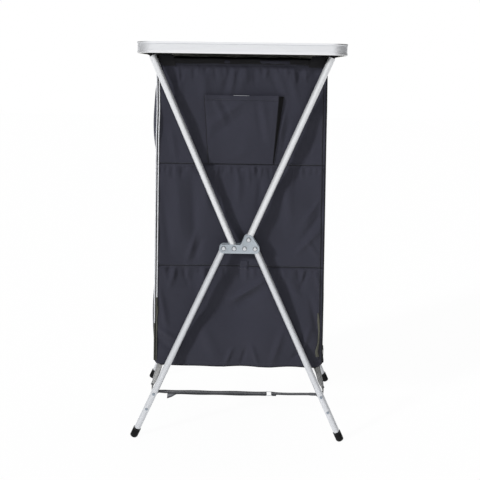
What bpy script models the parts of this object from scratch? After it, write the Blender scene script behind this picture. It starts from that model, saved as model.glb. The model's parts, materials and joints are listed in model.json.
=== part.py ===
"""Camping storage unit: a tabletop on two folding X-frames, with a three-compartment bag hung between them.

Metres, +Z up, +X to the right, +Y away from the pocket side. The floor is z = 0, the middle x = y = 0.
"""

import math

import bmesh
import bpy
from mathutils import Matrix, Vector

for old in list(bpy.data.objects):
    bpy.data.objects.remove(old, do_unlink=True)

# Overall sizes
TOTAL_HEIGHT = 1.170
GAP = 0.0003  # clearance between neighbours that touch
CUT_MARGIN = 0.004  # how far a cutter runs past what it cuts

# Tabletop and its edge frame
TABLE_WIDTH = 0.580
TABLE_DEPTH = 0.480
TABLE_CORNER = 0.050
RIM_HEIGHT = 0.031
RIM_WALL = 0.0022
BEAD_HEIGHT = 0.0055
BEAD_PROUD = 0.0008
LIP_THICKNESS = 0.0015
TOP_LIP_REACH = 0.0095
BOARD_LIP_REACH = 0.012
LOWER_LIP_REACH = 0.009
BOARD_THICKNESS = 0.009
BOARD_STEP = 0.0008  # the board's face above its edge, which lies under the lip
FACE_MARGIN = 0.0005  # from the lip to the board's face
CORNER_STEPS = 6

# Tubes, rails and how they stand
TUBE_RADIUS = 0.0095
TUBE_WALL = 0.0012
TUBE_SIDES = 16
TUBE_TAIL = 0.008  # how far a half tube runs past its pivot
RAIL_RADIUS = 0.008
RAIL_INSET = 0.039  # from the table's side to the rail's axis
FRAME_INSET = 0.038  # from the table's near edge to the tubes' plane
PIVOT_HEIGHT = 0.5925
PIVOT_PITCH = 0.030
FOOT_SPREAD = 0.626  # between the lower tubes' axes, at the floor
FOOT_LIFT = 0.0005  # of the cap's end on its axis, before the sole is cut level

# Fittings at the tube tops
FITTING_RADIUS = 0.0115
FITTING_REACH = 0.030  # from the frame's plane along the rail
FITTING_NOSE = 0.0115  # from the frame's plane outwards
PAD_RISE = 0.0150  # from the rail's axis to the board
PAD_HALF_WIDTH = 0.0085
RAIL_END = 0.004  # how far the rail runs past the frame's plane
SPIGOT_LENGTH = 0.025

# Folding bracket
PLATE_THICKNESS = 0.002
PLATE_TOP = 0.0112  # above the pivots' row
PLATE_BOTTOM = 0.0145  # below the pivots' row
LOBE_RADIUS = 0.0140
SHOULDER_RADIUS = 0.008
LOCK_DISTANCE = 0.0284  # between the two rivets of the fixed tube
PLATE_BEVEL = 0.0006
RIVET_RADIUS = 0.0030
HEAD_RADIUS = 0.0057
HEAD_HEIGHT = 0.0025
RIVET_SIDES = 12

# Foot caps
CAP_RADIUS = 0.0115
CAP_LENGTH = 0.030
CAP_FLOOR = 0.006  # thickness of the cap's end
CAP_ROUND = 0.003

# Bag
CLOTH = 0.0015
BAG_CLEARANCE = 0.024  # from the frame's plane to the bag's face
BAG_INSET = 0.0147  # from the rail's axis to the bag's top corner
BAG_FLARE = 0.0308  # how much wider the bag is at the bottom
BAG_DROP = 0.0199  # from the rail's axis to the top of the faces
BAG_BOTTOM = 0.220
BOTTOM_SHELF_RISE = 0.005
SHELF_SHARES = (0.3413, 0.6759)  # the upper shelves' places in the bag's height
SHELF_THICKNESS = 0.004
BAG_CORNER = 0.018
SEAM_STRIP = 0.008  # flat strip of a side's cloth along each seam
SIDE_COLUMNS = 6
SLEEVE_MARGIN = 0.002  # between a sleeve's end and the fitting
SIDE_BILLOWS = (0.006, 0.004, 0.013)  # bottom, middle and top compartment
HEADER_HEIGHT = 0.044
DOOR_RISE = 0.012  # the door's hem above the bag's lower edge
DOOR_BILLOW = 0.003
BATTEN_RADIUS = 0.006
BATTEN_INSET = 0.008  # from the bag's faces to the batten's ends

# Patch pocket
POCKET_DROP = 0.098  # from the top of the bag to the pocket's top
POCKET_RISE = 0.002  # above the seam it stands on
POCKET_TOP_WIDTH = 0.208
POCKET_BOTTOM_WIDTH = 0.183
GUSSET_TOP_WIDTH = 0.238
GUSSET_BOTTOM_WIDTH = 0.188
POCKET_DEPTH = 0.0095
POCKET_FOOT_DEPTH = 0.0015

# Webbing, buckle and elastic
WEB_WIDTH = 0.020
WEB = 0.0012
STRAP_HEIGHT = 0.1405
STRAP_RIVET_RADIUS = 0.0022
STRAP_HEAD_RADIUS = 0.0045
STRAP_HEAD_HEIGHT = 0.0018
STRAP_END = 0.007  # how far a strap runs upright past its rivet
STRAP_FLAT = 0.010  # how far it runs upright on the rivet's other side
TWIST_LENGTH = 0.022  # over which a strap turns from upright to flat
SIDE_TWIST_LENGTH = 0.044
TWIST_STEPS = 5
SIDE_STRAP_OUT = 0.009  # from the rivet to the side strap's run
STRAP_BEND = 0.003  # radius of the side strap's corners
DOUBLED_INSET = 0.0665  # from the left rivet to the free end of the doubled part
TAIL_LENGTH = 0.028
TAIL_DROP = 0.016
BUCKLE_X = 0.095
BUCKLE_WIDTH = 0.0195
BUCKLE_WIRE = 0.0010
BUCKLE_CORNER = 0.0016
BUCKLE_MARGIN = 0.0003  # between the webbing's edge and the ring's corner
LOOP_LENGTH = 0.012
ELASTIC_RADIUS = 0.0014
ELASTIC_SPREAD = 0.012
ELASTIC_BEND = 0.0028
ELASTIC_INSET = 0.004  # from the bag's face to the cord's lower end

# What follows from them
RAIL_X = TABLE_WIDTH / 2 - RAIL_INSET
FRAME_Y = TABLE_DEPTH / 2 - FRAME_INSET
FOOT_X = FOOT_SPREAD / 2
BOARD_TOP = TOTAL_HEIGHT - LIP_THICKNESS - GAP
BOARD_BOTTOM = BOARD_TOP - BOARD_THICKNESS
RAIL_HEIGHT = BOARD_BOTTOM - GAP - PAD_RISE
UPPER_LEAN = math.atan2(RAIL_X - PIVOT_PITCH / 2, RAIL_HEIGHT - PIVOT_HEIGHT)
LOWER_LEAN = math.atan2(FOOT_X - 1.5 * PIVOT_PITCH, PIVOT_HEIGHT)
UPPER_LENGTH = math.hypot(RAIL_X - PIVOT_PITCH / 2, RAIL_HEIGHT - PIVOT_HEIGHT)
UPPER_TUBE_END = UPPER_LENGTH - FITTING_RADIUS - GAP
CAP_END = (PIVOT_HEIGHT - FOOT_LIFT) / math.cos(LOWER_LEAN)
LOWER_TUBE_END = CAP_END - CAP_FLOOR - GAP
PLATE_INNER = TUBE_RADIUS + GAP  # from the tubes' plane to the plate's near face
BAG_Y = FRAME_Y - BAG_CLEARANCE
BAG_TOP = RAIL_HEIGHT - BAG_DROP
BAG_HEIGHT = BAG_TOP - BAG_BOTTOM
SHELF_HEIGHTS = (BAG_BOTTOM + BOTTOM_SHELF_RISE, *(BAG_BOTTOM + BAG_HEIGHT * share for share in SHELF_SHARES))
HEADER_BOTTOM = BAG_TOP - HEADER_HEIGHT
DOOR_BOTTOM = BAG_BOTTOM + DOOR_RISE
POCKET_TOP = BAG_TOP - POCKET_DROP
STRAP_RIVET_X = FOOT_X - STRAP_HEIGHT * math.tan(LOWER_LEAN)


def material(name, colour, roughness, metallic=0.0):
    made = bpy.data.materials.new(name)
    made.use_nodes = True
    shader = made.node_tree.nodes["Principled BSDF"]
    shader.inputs["Base Color"].default_value = (*colour, 1.0)
    shader.inputs["Roughness"].default_value = roughness
    shader.inputs["Metallic"].default_value = metallic
    return made


EDGE_ALUMINIUM = material("edge_aluminium", (0.80, 0.81, 0.83), 0.35, 1.0)
TUBE_SILVER = material("tube_silver", (0.74, 0.75, 0.77), 0.38, 1.0)
ZINC = material("zinc_plate", (0.44, 0.48, 0.52), 0.42, 1.0)
RIVET_STEEL = material("rivet_steel", (0.78, 0.79, 0.80), 0.25, 1.0)
BLACK_PLASTIC = material("black_plastic", (0.015, 0.015, 0.017), 0.45)
LAMINATE = material("board_laminate", (0.42, 0.42, 0.43), 0.5)
CLOTH_GREY = material("bag_cloth", (0.045, 0.049, 0.062), 0.85)
SHELF_GREY = material("shelf_board", (0.06, 0.06, 0.065), 0.7)
WEBBING = material("webbing", (0.20, 0.20, 0.21), 0.8)
ELASTIC = material("elastic_cord", (0.35, 0.35, 0.36), 0.7)


def made(name, bm, finish, parent=None, location=(0, 0, 0), turn=0.0, solid=True):
    """One named object from a bmesh, turned about Y and placed under its parent."""
    if solid:
        bmesh.ops.recalc_face_normals(bm, faces=bm.faces[:])
    mesh = bpy.data.meshes.new(name)
    bm.to_mesh(mesh)
    bm.free()
    mesh.shade_smooth()
    mesh.set_sharp_from_angle(angle=math.radians(35))
    mesh.materials.append(finish)
    thing = bpy.data.objects.new(name, mesh)
    bpy.context.collection.objects.link(thing)
    thing.location = location
    thing.rotation_euler = (0, turn, 0)
    thing.parent = parent
    return thing


def axis_empty(name, location):
    """An empty on a joint's axis, which carries the pieces that move about it."""
    empty = bpy.data.objects.new(name, None)
    empty.empty_display_size = 0.03
    empty.location = location
    bpy.context.collection.objects.link(empty)
    return empty


def cut(thing, bm, name, location=(0, 0, 0), operation="DIFFERENCE"):
    """Cuts the bmesh's solid out of the piece, or joins it on, in the piece's own frame."""
    cutter = made(name, bm, BLACK_PLASTIC, thing, location)
    cutter.hide_render = True
    cutter.display_type = "WIRE"
    step = thing.modifiers.new(name, "BOOLEAN")
    step.object = cutter
    step.operation = operation
    step.solver = "EXACT"


def cylinder(radius, low, high, axis="Z", sides=TUBE_SIDES):
    """A closed cylinder between two heights on one axis."""
    bm = bmesh.new()
    bmesh.ops.create_cone(bm, cap_ends=True, segments=sides, radius1=radius, radius2=radius, depth=high - low)
    bmesh.ops.translate(bm, vec=(0, 0, (low + high) / 2), verts=bm.verts[:])
    if axis == "Y":
        bmesh.ops.rotate(bm, matrix=Matrix.Rotation(math.radians(-90), 3, "X"), verts=bm.verts[:])
    return bm


def block(low, high):
    bm = bmesh.new()
    bmesh.ops.create_cube(bm, size=1.0)
    low, high = Vector(low), Vector(high)
    bmesh.ops.scale(bm, vec=high - low, verts=bm.verts[:])
    bmesh.ops.translate(bm, vec=(low + high) / 2, verts=bm.verts[:])
    return bm


def turned(profile, sides):
    """A closed solid of revolution about Z from (radius, height) points that start and end on the axis."""
    bm = bmesh.new()
    ring = [bm.verts.new((r, 0, z)) for r, z in profile]
    edges = [bm.edges.new(pair) for pair in zip(ring, ring[1:])]
    bmesh.ops.spin(
        bm, geom=ring + edges, cent=(0, 0, 0), axis=(0, 0, 1), angle=math.tau, steps=sides, use_merge=True
    )
    bmesh.ops.remove_doubles(bm, verts=bm.verts[:], dist=1e-6)
    return bm


def prism(outline, low, high, axis="Z"):
    """The outline's face extruded along one axis; points are (x, y) for Z and (x, z) for Y."""
    bm = bmesh.new()
    place = (lambda a, b: (a, b, low)) if axis == "Z" else (lambda a, b: (a, low, b))
    face = bm.faces.new([bm.verts.new(place(a, b)) for a, b in outline])
    pushed = bmesh.ops.extrude_face_region(bm, geom=[face])["geom"]
    along = (0, 0, high - low) if axis == "Z" else (0, high - low, 0)
    bmesh.ops.translate(bm, vec=along, verts=[v for v in pushed if isinstance(v, bmesh.types.BMVert)])
    return bm


def drawn_on(bm, face, along, centre=None, turn=0.0, axis="X"):
    """Extrudes the end face of a band by a step, turned about a centre, and returns the new end face.

    A turned step's two wide faces are split along the same diagonal, so that the band keeps its thickness.
    """
    ring = list(face.verts)
    drawn = bmesh.ops.extrude_face_region(bm, geom=[face, *face.edges])["geom"]
    verts = [v for v in drawn if isinstance(v, bmesh.types.BMVert)]
    moved = [min(verts, key=lambda v: (v.co - corner.co).length) for corner in ring]
    wide = 0 if (ring[0].co - ring[1].co).length > (ring[1].co - ring[2].co).length else 1
    if turn:
        bmesh.ops.rotate(bm, cent=centre, matrix=Matrix.Rotation(turn, 3, axis), verts=verts)
    bmesh.ops.translate(bm, vec=along, verts=verts)
    if turn:
        bmesh.ops.connect_verts(bm, verts=[ring[wide], moved[wide + 1]])
        bmesh.ops.connect_verts(bm, verts=[ring[(wide + 3) % 4], moved[wide + 2]])
    return next(part for part in drawn if isinstance(part, bmesh.types.BMFace))


def arc(centre, radius, start, end, steps):
    """Points of an arc, its angles in degrees from the first axis."""
    angles = [math.radians(start + (end - start) * i / steps) for i in range(steps + 1)]
    return [(centre[0] + radius * math.cos(a), centre[1] + radius * math.sin(a)) for a in angles]


def lattice(rows, thickness, name, finish, parent=None, outer=1.0):
    """A cloth panel: rows of points joined into a sheet, then given its thickness."""
    bm = bmesh.new()
    grid = [[bm.verts.new(p) for p in row] for row in rows]
    for lower, upper in zip(grid, grid[1:]):
        for i in range(len(lower) - 1):
            bm.faces.new((lower[i], lower[i + 1], upper[i + 1], upper[i]))
    panel = made(name, bm, finish, parent, solid=False)
    shell = panel.modifiers.new("thickness", "SOLIDIFY")
    shell.thickness = thickness
    shell.offset = outer
    shell.use_even_offset = True
    return panel


def on_lean(side, lean, distance):
    """The (x, z) of a point at a distance from its pivot along an upper tube's line."""
    return side * distance * math.sin(lean), distance * math.cos(lean)


# Tabletop


def rim_profile():
    """The edge extrusion's section: (distance inside the table's outline, height above its lower edge)."""
    band = BEAD_PROUD
    wall = band + RIM_WALL
    board_lip_top = BOARD_BOTTOM - GAP - (TOTAL_HEIGHT - RIM_HEIGHT)
    board_lip_low = board_lip_top - LIP_THICKNESS
    top_bead = RIM_HEIGHT - BEAD_HEIGHT
    chamfer = BEAD_HEIGHT / 4
    return [
        (band, 0),
        (0, chamfer),
        (0, BEAD_HEIGHT - chamfer),
        (band, BEAD_HEIGHT),
        (band, top_bead),
        (0, top_bead + chamfer),
        (0, RIM_HEIGHT - chamfer),
        (band, RIM_HEIGHT),
        (TOP_LIP_REACH, RIM_HEIGHT),
        (TOP_LIP_REACH, RIM_HEIGHT - LIP_THICKNESS),
        (wall, RIM_HEIGHT - LIP_THICKNESS),
        (wall, board_lip_top),
        (BOARD_LIP_REACH, board_lip_top),
        (BOARD_LIP_REACH, board_lip_low),
        (wall, board_lip_low),
        (wall, LIP_THICKNESS),
        (LOWER_LIP_REACH, LIP_THICKNESS),
        (LOWER_LIP_REACH, 0),
    ]


def table_outline(inside):
    """The rounded rectangle of the table, a distance inside its outer edge."""
    points = []
    for sx, sy, start in ((1, 1, 0), (-1, 1, 90), (-1, -1, 180), (1, -1, 270)):
        centre = (sx * (TABLE_WIDTH / 2 - TABLE_CORNER), sy * (TABLE_DEPTH / 2 - TABLE_CORNER))
        points += arc(centre, TABLE_CORNER - inside, start, start + 90, CORNER_STEPS)
    return points


def edge_frame(parent):
    bm = bmesh.new()
    loops = []
    for inside, height in rim_profile():
        z = TOTAL_HEIGHT - RIM_HEIGHT + height - parent.location.z
        loops.append([bm.verts.new((x, y, z)) for x, y in table_outline(inside)])
    count = len(loops[0])
    for first, second in zip(loops, loops[1:] + loops[:1]):
        for i in range(count):
            bm.faces.new((first[i], first[(i + 1) % count], second[(i + 1) % count], second[i]))
    made("edge_frame", bm, EDGE_ALUMINIUM, parent)


def tabletop_board(parent):
    """The board inside the rim; its face stands a step above the edge that the lip covers."""
    outline = table_outline(BEAD_PROUD + RIM_WALL + GAP)
    base = parent.location.z
    bm = prism(outline, BOARD_BOTTOM - base, BOARD_TOP - base)
    face = max(bm.faces, key=lambda f: f.calc_center_median().z)
    under_lip = TOP_LIP_REACH + FACE_MARGIN - BEAD_PROUD - RIM_WALL - GAP
    bmesh.ops.inset_region(bm, faces=[face], thickness=under_lip)
    drawn_on(bm, face, (0, 0, BOARD_STEP))
    made("tabletop_board", bm, LAMINATE, parent)


# Frames


def pipe(length, radius, low, axis="Z"):
    """A tube open at both ends: an outer and an inner wall joined by flat ends."""
    bm = cylinder(radius, low, length, axis)
    ends = [f for f in bm.faces if len(f.verts) > 4]
    bmesh.ops.inset_region(bm, faces=ends, thickness=TUBE_WALL)
    caps = [f for f in bm.faces if len(f.verts) > 4]
    bmesh.ops.bridge_loops(bm, edges=[e for f in caps for e in f.edges])
    bmesh.ops.delete(bm, geom=caps, context="FACES")
    return bm


def half_tube(name, parent, turn, length, holes):
    """A half tube along its own +Z from just behind its pivot, drilled across for its rivets."""
    tube = made(name, pipe(length, TUBE_RADIUS, -TUBE_TAIL), TUBE_SILVER, parent, turn=turn)
    for i, (distance, radius) in enumerate(holes):
        reach = TUBE_RADIUS + CUT_MARGIN
        drill = cylinder(radius + GAP, -reach, reach, "Y", RIVET_SIDES)
        cut(tube, drill, f"{name}_hole_{i}", (0, 0, distance))
    return tube


def fitting_outline():
    """The fitting's section across the rail: round below, with a pad above that narrows to the board."""
    return [
        *arc((0, 0), FITTING_RADIUS, 180, 360, TUBE_SIDES),
        (PAD_HALF_WIDTH, PAD_RISE),
        (-PAD_HALF_WIDTH, PAD_RISE),
    ]


def rail_fitting(name, parent, y, turn):
    """The moulded fitting at a tube's top: it holds the rail, plugs into the tube and bears the board."""
    out = math.copysign(1.0, y)
    ends = sorted((out * FITTING_NOSE, -out * FITTING_REACH))
    fitting = made(name, prism(fitting_outline(), *ends, "Y"), BLACK_PLASTIC, parent, (0, y, 0))
    spigot = cylinder(TUBE_RADIUS - TUBE_WALL - GAP, -FITTING_RADIUS - SPIGOT_LENGTH, 0)
    bmesh.ops.rotate(spigot, matrix=Matrix.Rotation(turn, 3, "Y"), verts=spigot.verts[:])
    cut(fitting, spigot, f"{name}_spigot", operation="UNION")
    bore = sorted((out * (RAIL_END + GAP), -out * (FITTING_REACH + CUT_MARGIN)))
    cut(fitting, cylinder(RAIL_RADIUS + GAP, *bore, "Y"), f"{name}_bore")


def foot_cap(name, tube):
    """The cap over a foot's end, rounded, bored for the tube and cut level where it stands."""
    low, high = CAP_END - CAP_LENGTH, CAP_END
    bevel = arc((CAP_RADIUS - CAP_ROUND, high - CAP_ROUND), CAP_ROUND, 0, 90, 3)
    bore = TUBE_RADIUS + GAP
    inside = [(0, high - CAP_FLOOR), (bore, high - CAP_FLOOR), (bore, low)]
    bm = turned([*inside, (CAP_RADIUS, low), *bevel, (0, high)], TUBE_SIDES)
    down = Matrix.Rotation(tube.rotation_euler.y, 3, "Y").transposed() @ Vector((0, 0, -1))
    floor = down * PIVOT_HEIGHT
    found = bmesh.ops.bisect_plane(
        bm, geom=bm.verts[:] + bm.edges[:] + bm.faces[:], plane_co=floor, plane_no=down, clear_outer=True
    )
    sole = [e for e in found["geom_cut"] if isinstance(e, bmesh.types.BMEdge)]
    bmesh.ops.contextual_create(bm, geom=sole)
    made(name, bm, BLACK_PLASTIC, tube)


def rivet(name, parent, out, shank, head, outer_seat, inner_seat, location, head_height=HEAD_HEIGHT):
    """A domed rivet across a frame, its outer head towards out: -1 or 1 along Y."""
    dome = [(x * head, z * head_height) for x, z in arc((0, 0), 1, 0, 90, 3)]
    outer = [(r, outer_seat + rise) for r, rise in dome]
    inner = [(r, -inner_seat - rise) for r, rise in reversed(dome)]
    bm = turned([*inner, (shank, -inner_seat), (shank, outer_seat), *outer], RIVET_SIDES)
    bmesh.ops.rotate(bm, matrix=Matrix.Rotation(math.radians(-90 * out), 3, "X"), verts=bm.verts[:])
    made(name, bm, RIVET_STEEL, parent, location)


def plate_outline():
    """The folding plate: a bar round the four pivots, with a lobe over the fixed tube's second rivet.

    The lobe's left side runs along that tube, and a fillet leads it into the bar's top.
    """
    end_radius = (PLATE_TOP + PLATE_BOTTOM) / 2
    middle = (PLATE_TOP - PLATE_BOTTOM) / 2
    end = 1.5 * PIVOT_PITCH
    dx, dz = on_lean(1, UPPER_LEAN, LOCK_DISTANCE)
    lobe = (PIVOT_PITCH / 2 + dx, dz)
    run = Vector((end - lobe[0], middle - lobe[1]))
    tangent = math.degrees(math.atan2(run.y, run.x)) + math.degrees(
        math.acos((LOBE_RADIUS - end_radius) / run.length)
    )
    rise = PLATE_TOP + SHOULDER_RADIUS
    aside = (LOBE_RADIUS + SHOULDER_RADIUS - rise * math.sin(UPPER_LEAN)) / math.cos(UPPER_LEAN)
    lean = math.degrees(UPPER_LEAN)
    return [
        *arc((-end, middle), end_radius, 270, 90, 10),
        *arc((PIVOT_PITCH / 2 - aside, rise), SHOULDER_RADIUS, -90, -lean, 5),
        *arc(lobe, LOBE_RADIUS, 180 - lean, tangent, 9),
        *arc((end, middle), end_radius, tangent, -90, 8),
    ]


def rivet_places():
    """Name, x and height above the pivots' row of the bracket's five rivets."""
    dx, dz = on_lean(1, UPPER_LEAN, LOCK_DISTANCE)
    return [
        ("left_leg", -1.5 * PIVOT_PITCH, 0),
        ("left_upper", -0.5 * PIVOT_PITCH, 0),
        ("right_upper", 0.5 * PIVOT_PITCH, 0),
        ("right_leg", 1.5 * PIVOT_PITCH, 0),
        ("lock", 0.5 * PIVOT_PITCH + dx, dz),
    ]


def folding_bracket(where, y, parent):
    """Two plates with the tubes between them, and the rivets through both."""
    for face, side in (("outer", 1), ("inner", -1)):
        out = math.copysign(1.0, y) * side
        span = sorted((out * PLATE_INNER, out * (PLATE_INNER + PLATE_THICKNESS)))
        name = f"fold_plate_{where}_{face}"
        plate = made(name, prism(plate_outline(), *span, "Y"), ZINC, parent, (0, y, PIVOT_HEIGHT))
        soft = plate.modifiers.new("edges", "BEVEL")
        soft.width = PLATE_BEVEL
        soft.segments = 1
        soft.limit_method = "ANGLE"
        soft.angle_limit = math.radians(60)
        for hole, x, z in rivet_places():
            reach = PLATE_INNER + PLATE_THICKNESS + CUT_MARGIN
            drill = cylinder(RIVET_RADIUS + GAP, -reach, reach, "Y", RIVET_SIDES)
            cut(plate, drill, f"{name}_{hole}", (x, 0, z))
    seat = PLATE_INNER + PLATE_THICKNESS + GAP
    out = math.copysign(1.0, y)
    for label, x, z in rivet_places():
        place = (x, y, PIVOT_HEIGHT + z)
        rivet(f"rivet_{where}_{label}", parent, out, RIVET_RADIUS, HEAD_RADIUS, seat, seat, place)


def strap_rivet_seat():
    """How far inside the tubes' plane the strap rivet's inner head sits: past two layers of webbing."""
    return TUBE_RADIUS + 2 * WEB + 3 * GAP


def leg(where, y, side):
    """A lower tube with its cap and strap rivet, on an empty at its pivot; side is -1 on the left."""
    hand = "left" if side < 0 else "right"
    pivot = axis_empty(f"leg_{hand}_{where}_axis", (side * 1.5 * PIVOT_PITCH, y, PIVOT_HEIGHT))
    turn = math.pi - side * LOWER_LEAN
    strap_at = (PIVOT_HEIGHT - STRAP_HEIGHT) / math.cos(LOWER_LEAN)
    holes = [(0, RIVET_RADIUS), (strap_at, STRAP_RIVET_RADIUS)]
    tube = half_tube(f"lower_tube_{where}_{hand}", pivot, turn, LOWER_TUBE_END, holes)
    foot_cap(f"foot_cap_{where}_{hand}", tube)
    place = (side * (STRAP_RIVET_X - 1.5 * PIVOT_PITCH), 0, STRAP_HEIGHT - PIVOT_HEIGHT)
    rivet(
        f"strap_rivet_{where}_{hand}", pivot, math.copysign(1, y), STRAP_RIVET_RADIUS, STRAP_HEAD_RADIUS,
        TUBE_RADIUS + GAP, strap_rivet_seat(), place, STRAP_HEAD_HEIGHT,
    )
    return pivot


def upper_frame(hand, side, parent):
    """Both upper tubes of one side with the top rail that joins them."""
    base = parent.location
    rail_place = (side * RAIL_X - base.x, 0, RAIL_HEIGHT - base.z)
    end = FRAME_Y + RAIL_END
    rail = made(f"{hand}_top_rail", pipe(end, RAIL_RADIUS, -end, "Y"), TUBE_SILVER, parent, rail_place)
    for where, y in (("near", -FRAME_Y), ("far", FRAME_Y)):
        foot = (side * PIVOT_PITCH / 2 - base.x, y, PIVOT_HEIGHT - base.z)
        pivot = axis_empty(f"upper_{hand}_{where}_axis", foot)
        pivot.parent = parent
        holes = [(0, RIVET_RADIUS)]
        if side > 0:
            holes.append((LOCK_DISTANCE, RIVET_RADIUS))
        half_tube(f"upper_tube_{where}_{hand}", pivot, side * UPPER_LEAN, UPPER_TUBE_END, holes)
        rail_fitting(f"rail_fitting_{where}_{hand}", rail, y, side * UPPER_LEAN)


# Bag


def bag_half_width(z):
    """Half the bag's width at a height: it widens evenly towards the floor."""
    return RAIL_X - BAG_INSET + BAG_FLARE / 2 * (BAG_TOP - z) / BAG_HEIGHT


def face_panel(name, side):
    """The near or far face of the bag, its lower corners rounded."""
    outline = [(-bag_half_width(BAG_TOP), BAG_TOP)]
    for sign, start in ((-1, 180), (1, 270)):
        centre = (sign * (bag_half_width(BAG_BOTTOM + BAG_CORNER) - BAG_CORNER), BAG_BOTTOM + BAG_CORNER)
        outline += arc(centre, BAG_CORNER, start, start + 90, 4)
    outline.append((bag_half_width(BAG_TOP), BAG_TOP))
    span = sorted((side * BAG_Y, side * (BAG_Y - CLOTH)))
    return made(name, prism(outline, *span, "Y"), CLOTH_GREY)


def sleeve_path(side):
    """The (x, z) line of cloth up the inner side of a top rail, over it and round to its underside."""
    turn = arc((0, 0), RAIL_RADIUS + GAP + CLOTH, 0, 265, 12)
    return [(side * (RAIL_X - x), RAIL_HEIGHT + z) for x, z in turn]


def shelf_bands():
    """Lowest and highest height of each compartment, from the bottom up."""
    levels = [BAG_BOTTOM, *SHELF_HEIGHTS[1:], HEADER_BOTTOM]
    return list(zip(levels, levels[1:]))


def across_side(columns):
    """Places across a side from -1 to 1 with their share of the billow: flat strips at both seams."""
    flat = 1 - SEAM_STRIP / BAG_Y
    found = [(-1.0, 0.0)]
    for i in range(columns + 1):
        share = 2 * i / columns - 1
        found.append((flat * share, math.cos(math.pi / 2 * share)))
    return [*found, (1.0, 0.0)]


def side_rows(side, low, high, billow, rows):
    """Rows of (x, y, z) for a stretch of side cloth that bellies out between its seams."""
    found = []
    for i in range(rows + 1):
        z = low + (high - low) * i / rows
        rise = math.sin(math.pi * i / rows)
        x = bag_half_width(z) + GAP
        places = across_side(SIDE_COLUMNS)
        found.append([(side * (x + billow * rise * out), BAG_Y * at, z) for at, out in places])
    return found


def sleeve_rows(side, start):
    """Rows from the header's lower edge up into the sleeve, narrowed to fit between the fittings."""
    sleeve = FRAME_Y - FITTING_REACH - SLEEVE_MARGIN
    found = []
    for x, z in [start, *sleeve_path(side)]:
        half = BAG_Y if (x, z) == start else sleeve
        found.append([(x, half * at, z) for at, _ in across_side(SIDE_COLUMNS)])
    return found


def side_cloth():
    """The closed side on the left and, on the right, the header band with the door under it."""
    rows = []
    for (low, high), billow in zip(shelf_bands(), SIDE_BILLOWS):
        rows += side_rows(-1, low, high, billow, 5)[:-1]
    top = bag_half_width(HEADER_BOTTOM) + GAP
    rows += sleeve_rows(-1, (-top, HEADER_BOTTOM))
    lattice(rows, CLOTH, "closed_side_panel", CLOTH_GREY, outer=-1.0)
    lattice(sleeve_rows(1, (top, HEADER_BOTTOM)), CLOTH, "door_header", CLOTH_GREY)
    door = side_rows(1, DOOR_BOTTOM, HEADER_BOTTOM - GAP, DOOR_BILLOW, 10)
    lattice(door, CLOTH, "door_sheet", CLOTH_GREY)


def door_batten():
    """The stiffener along the door's hem, on an empty of its own because the door rolls up with it."""
    z = DOOR_BOTTOM + BATTEN_RADIUS
    carrier = axis_empty("door_axis", (bag_half_width(z) + CLOTH + 2 * GAP + BATTEN_RADIUS, 0, z))
    half = BAG_Y - BATTEN_INSET
    made("door_batten", cylinder(BATTEN_RADIUS, -half, half, "Y", RIVET_SIDES), CLOTH_GREY, carrier)


def shelves():
    for name, z in zip(("bottom_shelf", "middle_shelf", "top_shelf"), SHELF_HEIGHTS):
        half_x = bag_half_width(z + SHELF_THICKNESS / 2) - GAP
        if name == "bottom_shelf":
            half_x -= BAG_CORNER * 0.3
        half_y = BAG_Y - CLOTH - GAP
        low = (-half_x, -half_y, z - SHELF_THICKNESS / 2)
        made(name, block(low, (half_x, half_y, z + SHELF_THICKNESS / 2)), SHELF_GREY)


def patch_pocket():
    """A shallow open-topped pocket on the near panel, its gussets folded out to the cloth behind."""
    rows = []
    back = -BAG_Y - GAP - CLOTH / 2
    foot_z = SHELF_HEIGHTS[2] + POCKET_RISE
    foot = (foot_z, POCKET_BOTTOM_WIDTH, GUSSET_BOTTOM_WIDTH, POCKET_FOOT_DEPTH)
    top = (POCKET_TOP, POCKET_TOP_WIDTH, GUSSET_TOP_WIDTH, POCKET_DEPTH)
    for z, front, gusset, depth in (foot, top):
        corners = ((-gusset, 0), (-front, depth), (front, depth), (gusset, 0))
        rows.append([(width / 2, back - out, z) for width, out in corners])
    lattice(rows, CLOTH, "patch_pocket", CLOTH_GREY, outer=0.0)


# Webbing, buckle and elastic


def end_face(bm, direction):
    return max(bm.faces, key=lambda f: f.calc_center_median().dot(Vector(direction)))


def upright_end(bm, side):
    """Draws a flat band on towards a leg: a quarter turn, then upright past the rivet."""
    face = end_face(bm, (side, 0, 0))
    centre = face.calc_center_median()
    for _ in range(TWIST_STEPS):
        step = (side * TWIST_LENGTH / TWIST_STEPS, 0, 0)
        face = drawn_on(bm, face, step, centre, math.pi / 2 / TWIST_STEPS, "X")
    drawn_on(bm, face, (side * (STRAP_FLAT + STRAP_END), 0, 0))


def corner_end(bm, side, way):
    """Draws a flat side band on towards a leg: a quarter turn, a corner, then upright past the rivet."""
    face = end_face(bm, (0, way, 0))
    centre = face.calc_center_median()
    for _ in range(TWIST_STEPS):
        step = (0, way * SIDE_TWIST_LENGTH / TWIST_STEPS, 0)
        face = drawn_on(bm, face, step, centre, -side * math.pi / 2 / TWIST_STEPS, "Y")
    hub = face.calc_center_median() - Vector((side * STRAP_BEND, 0, 0))
    for _ in range(TWIST_STEPS):
        face = drawn_on(bm, face, (0, 0, 0), hub, side * way * math.pi / 2 / TWIST_STEPS, "Z")
    run = SIDE_STRAP_OUT - STRAP_BEND + STRAP_END
    drawn_on(bm, face, (-side * run, 0, 0))


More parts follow.
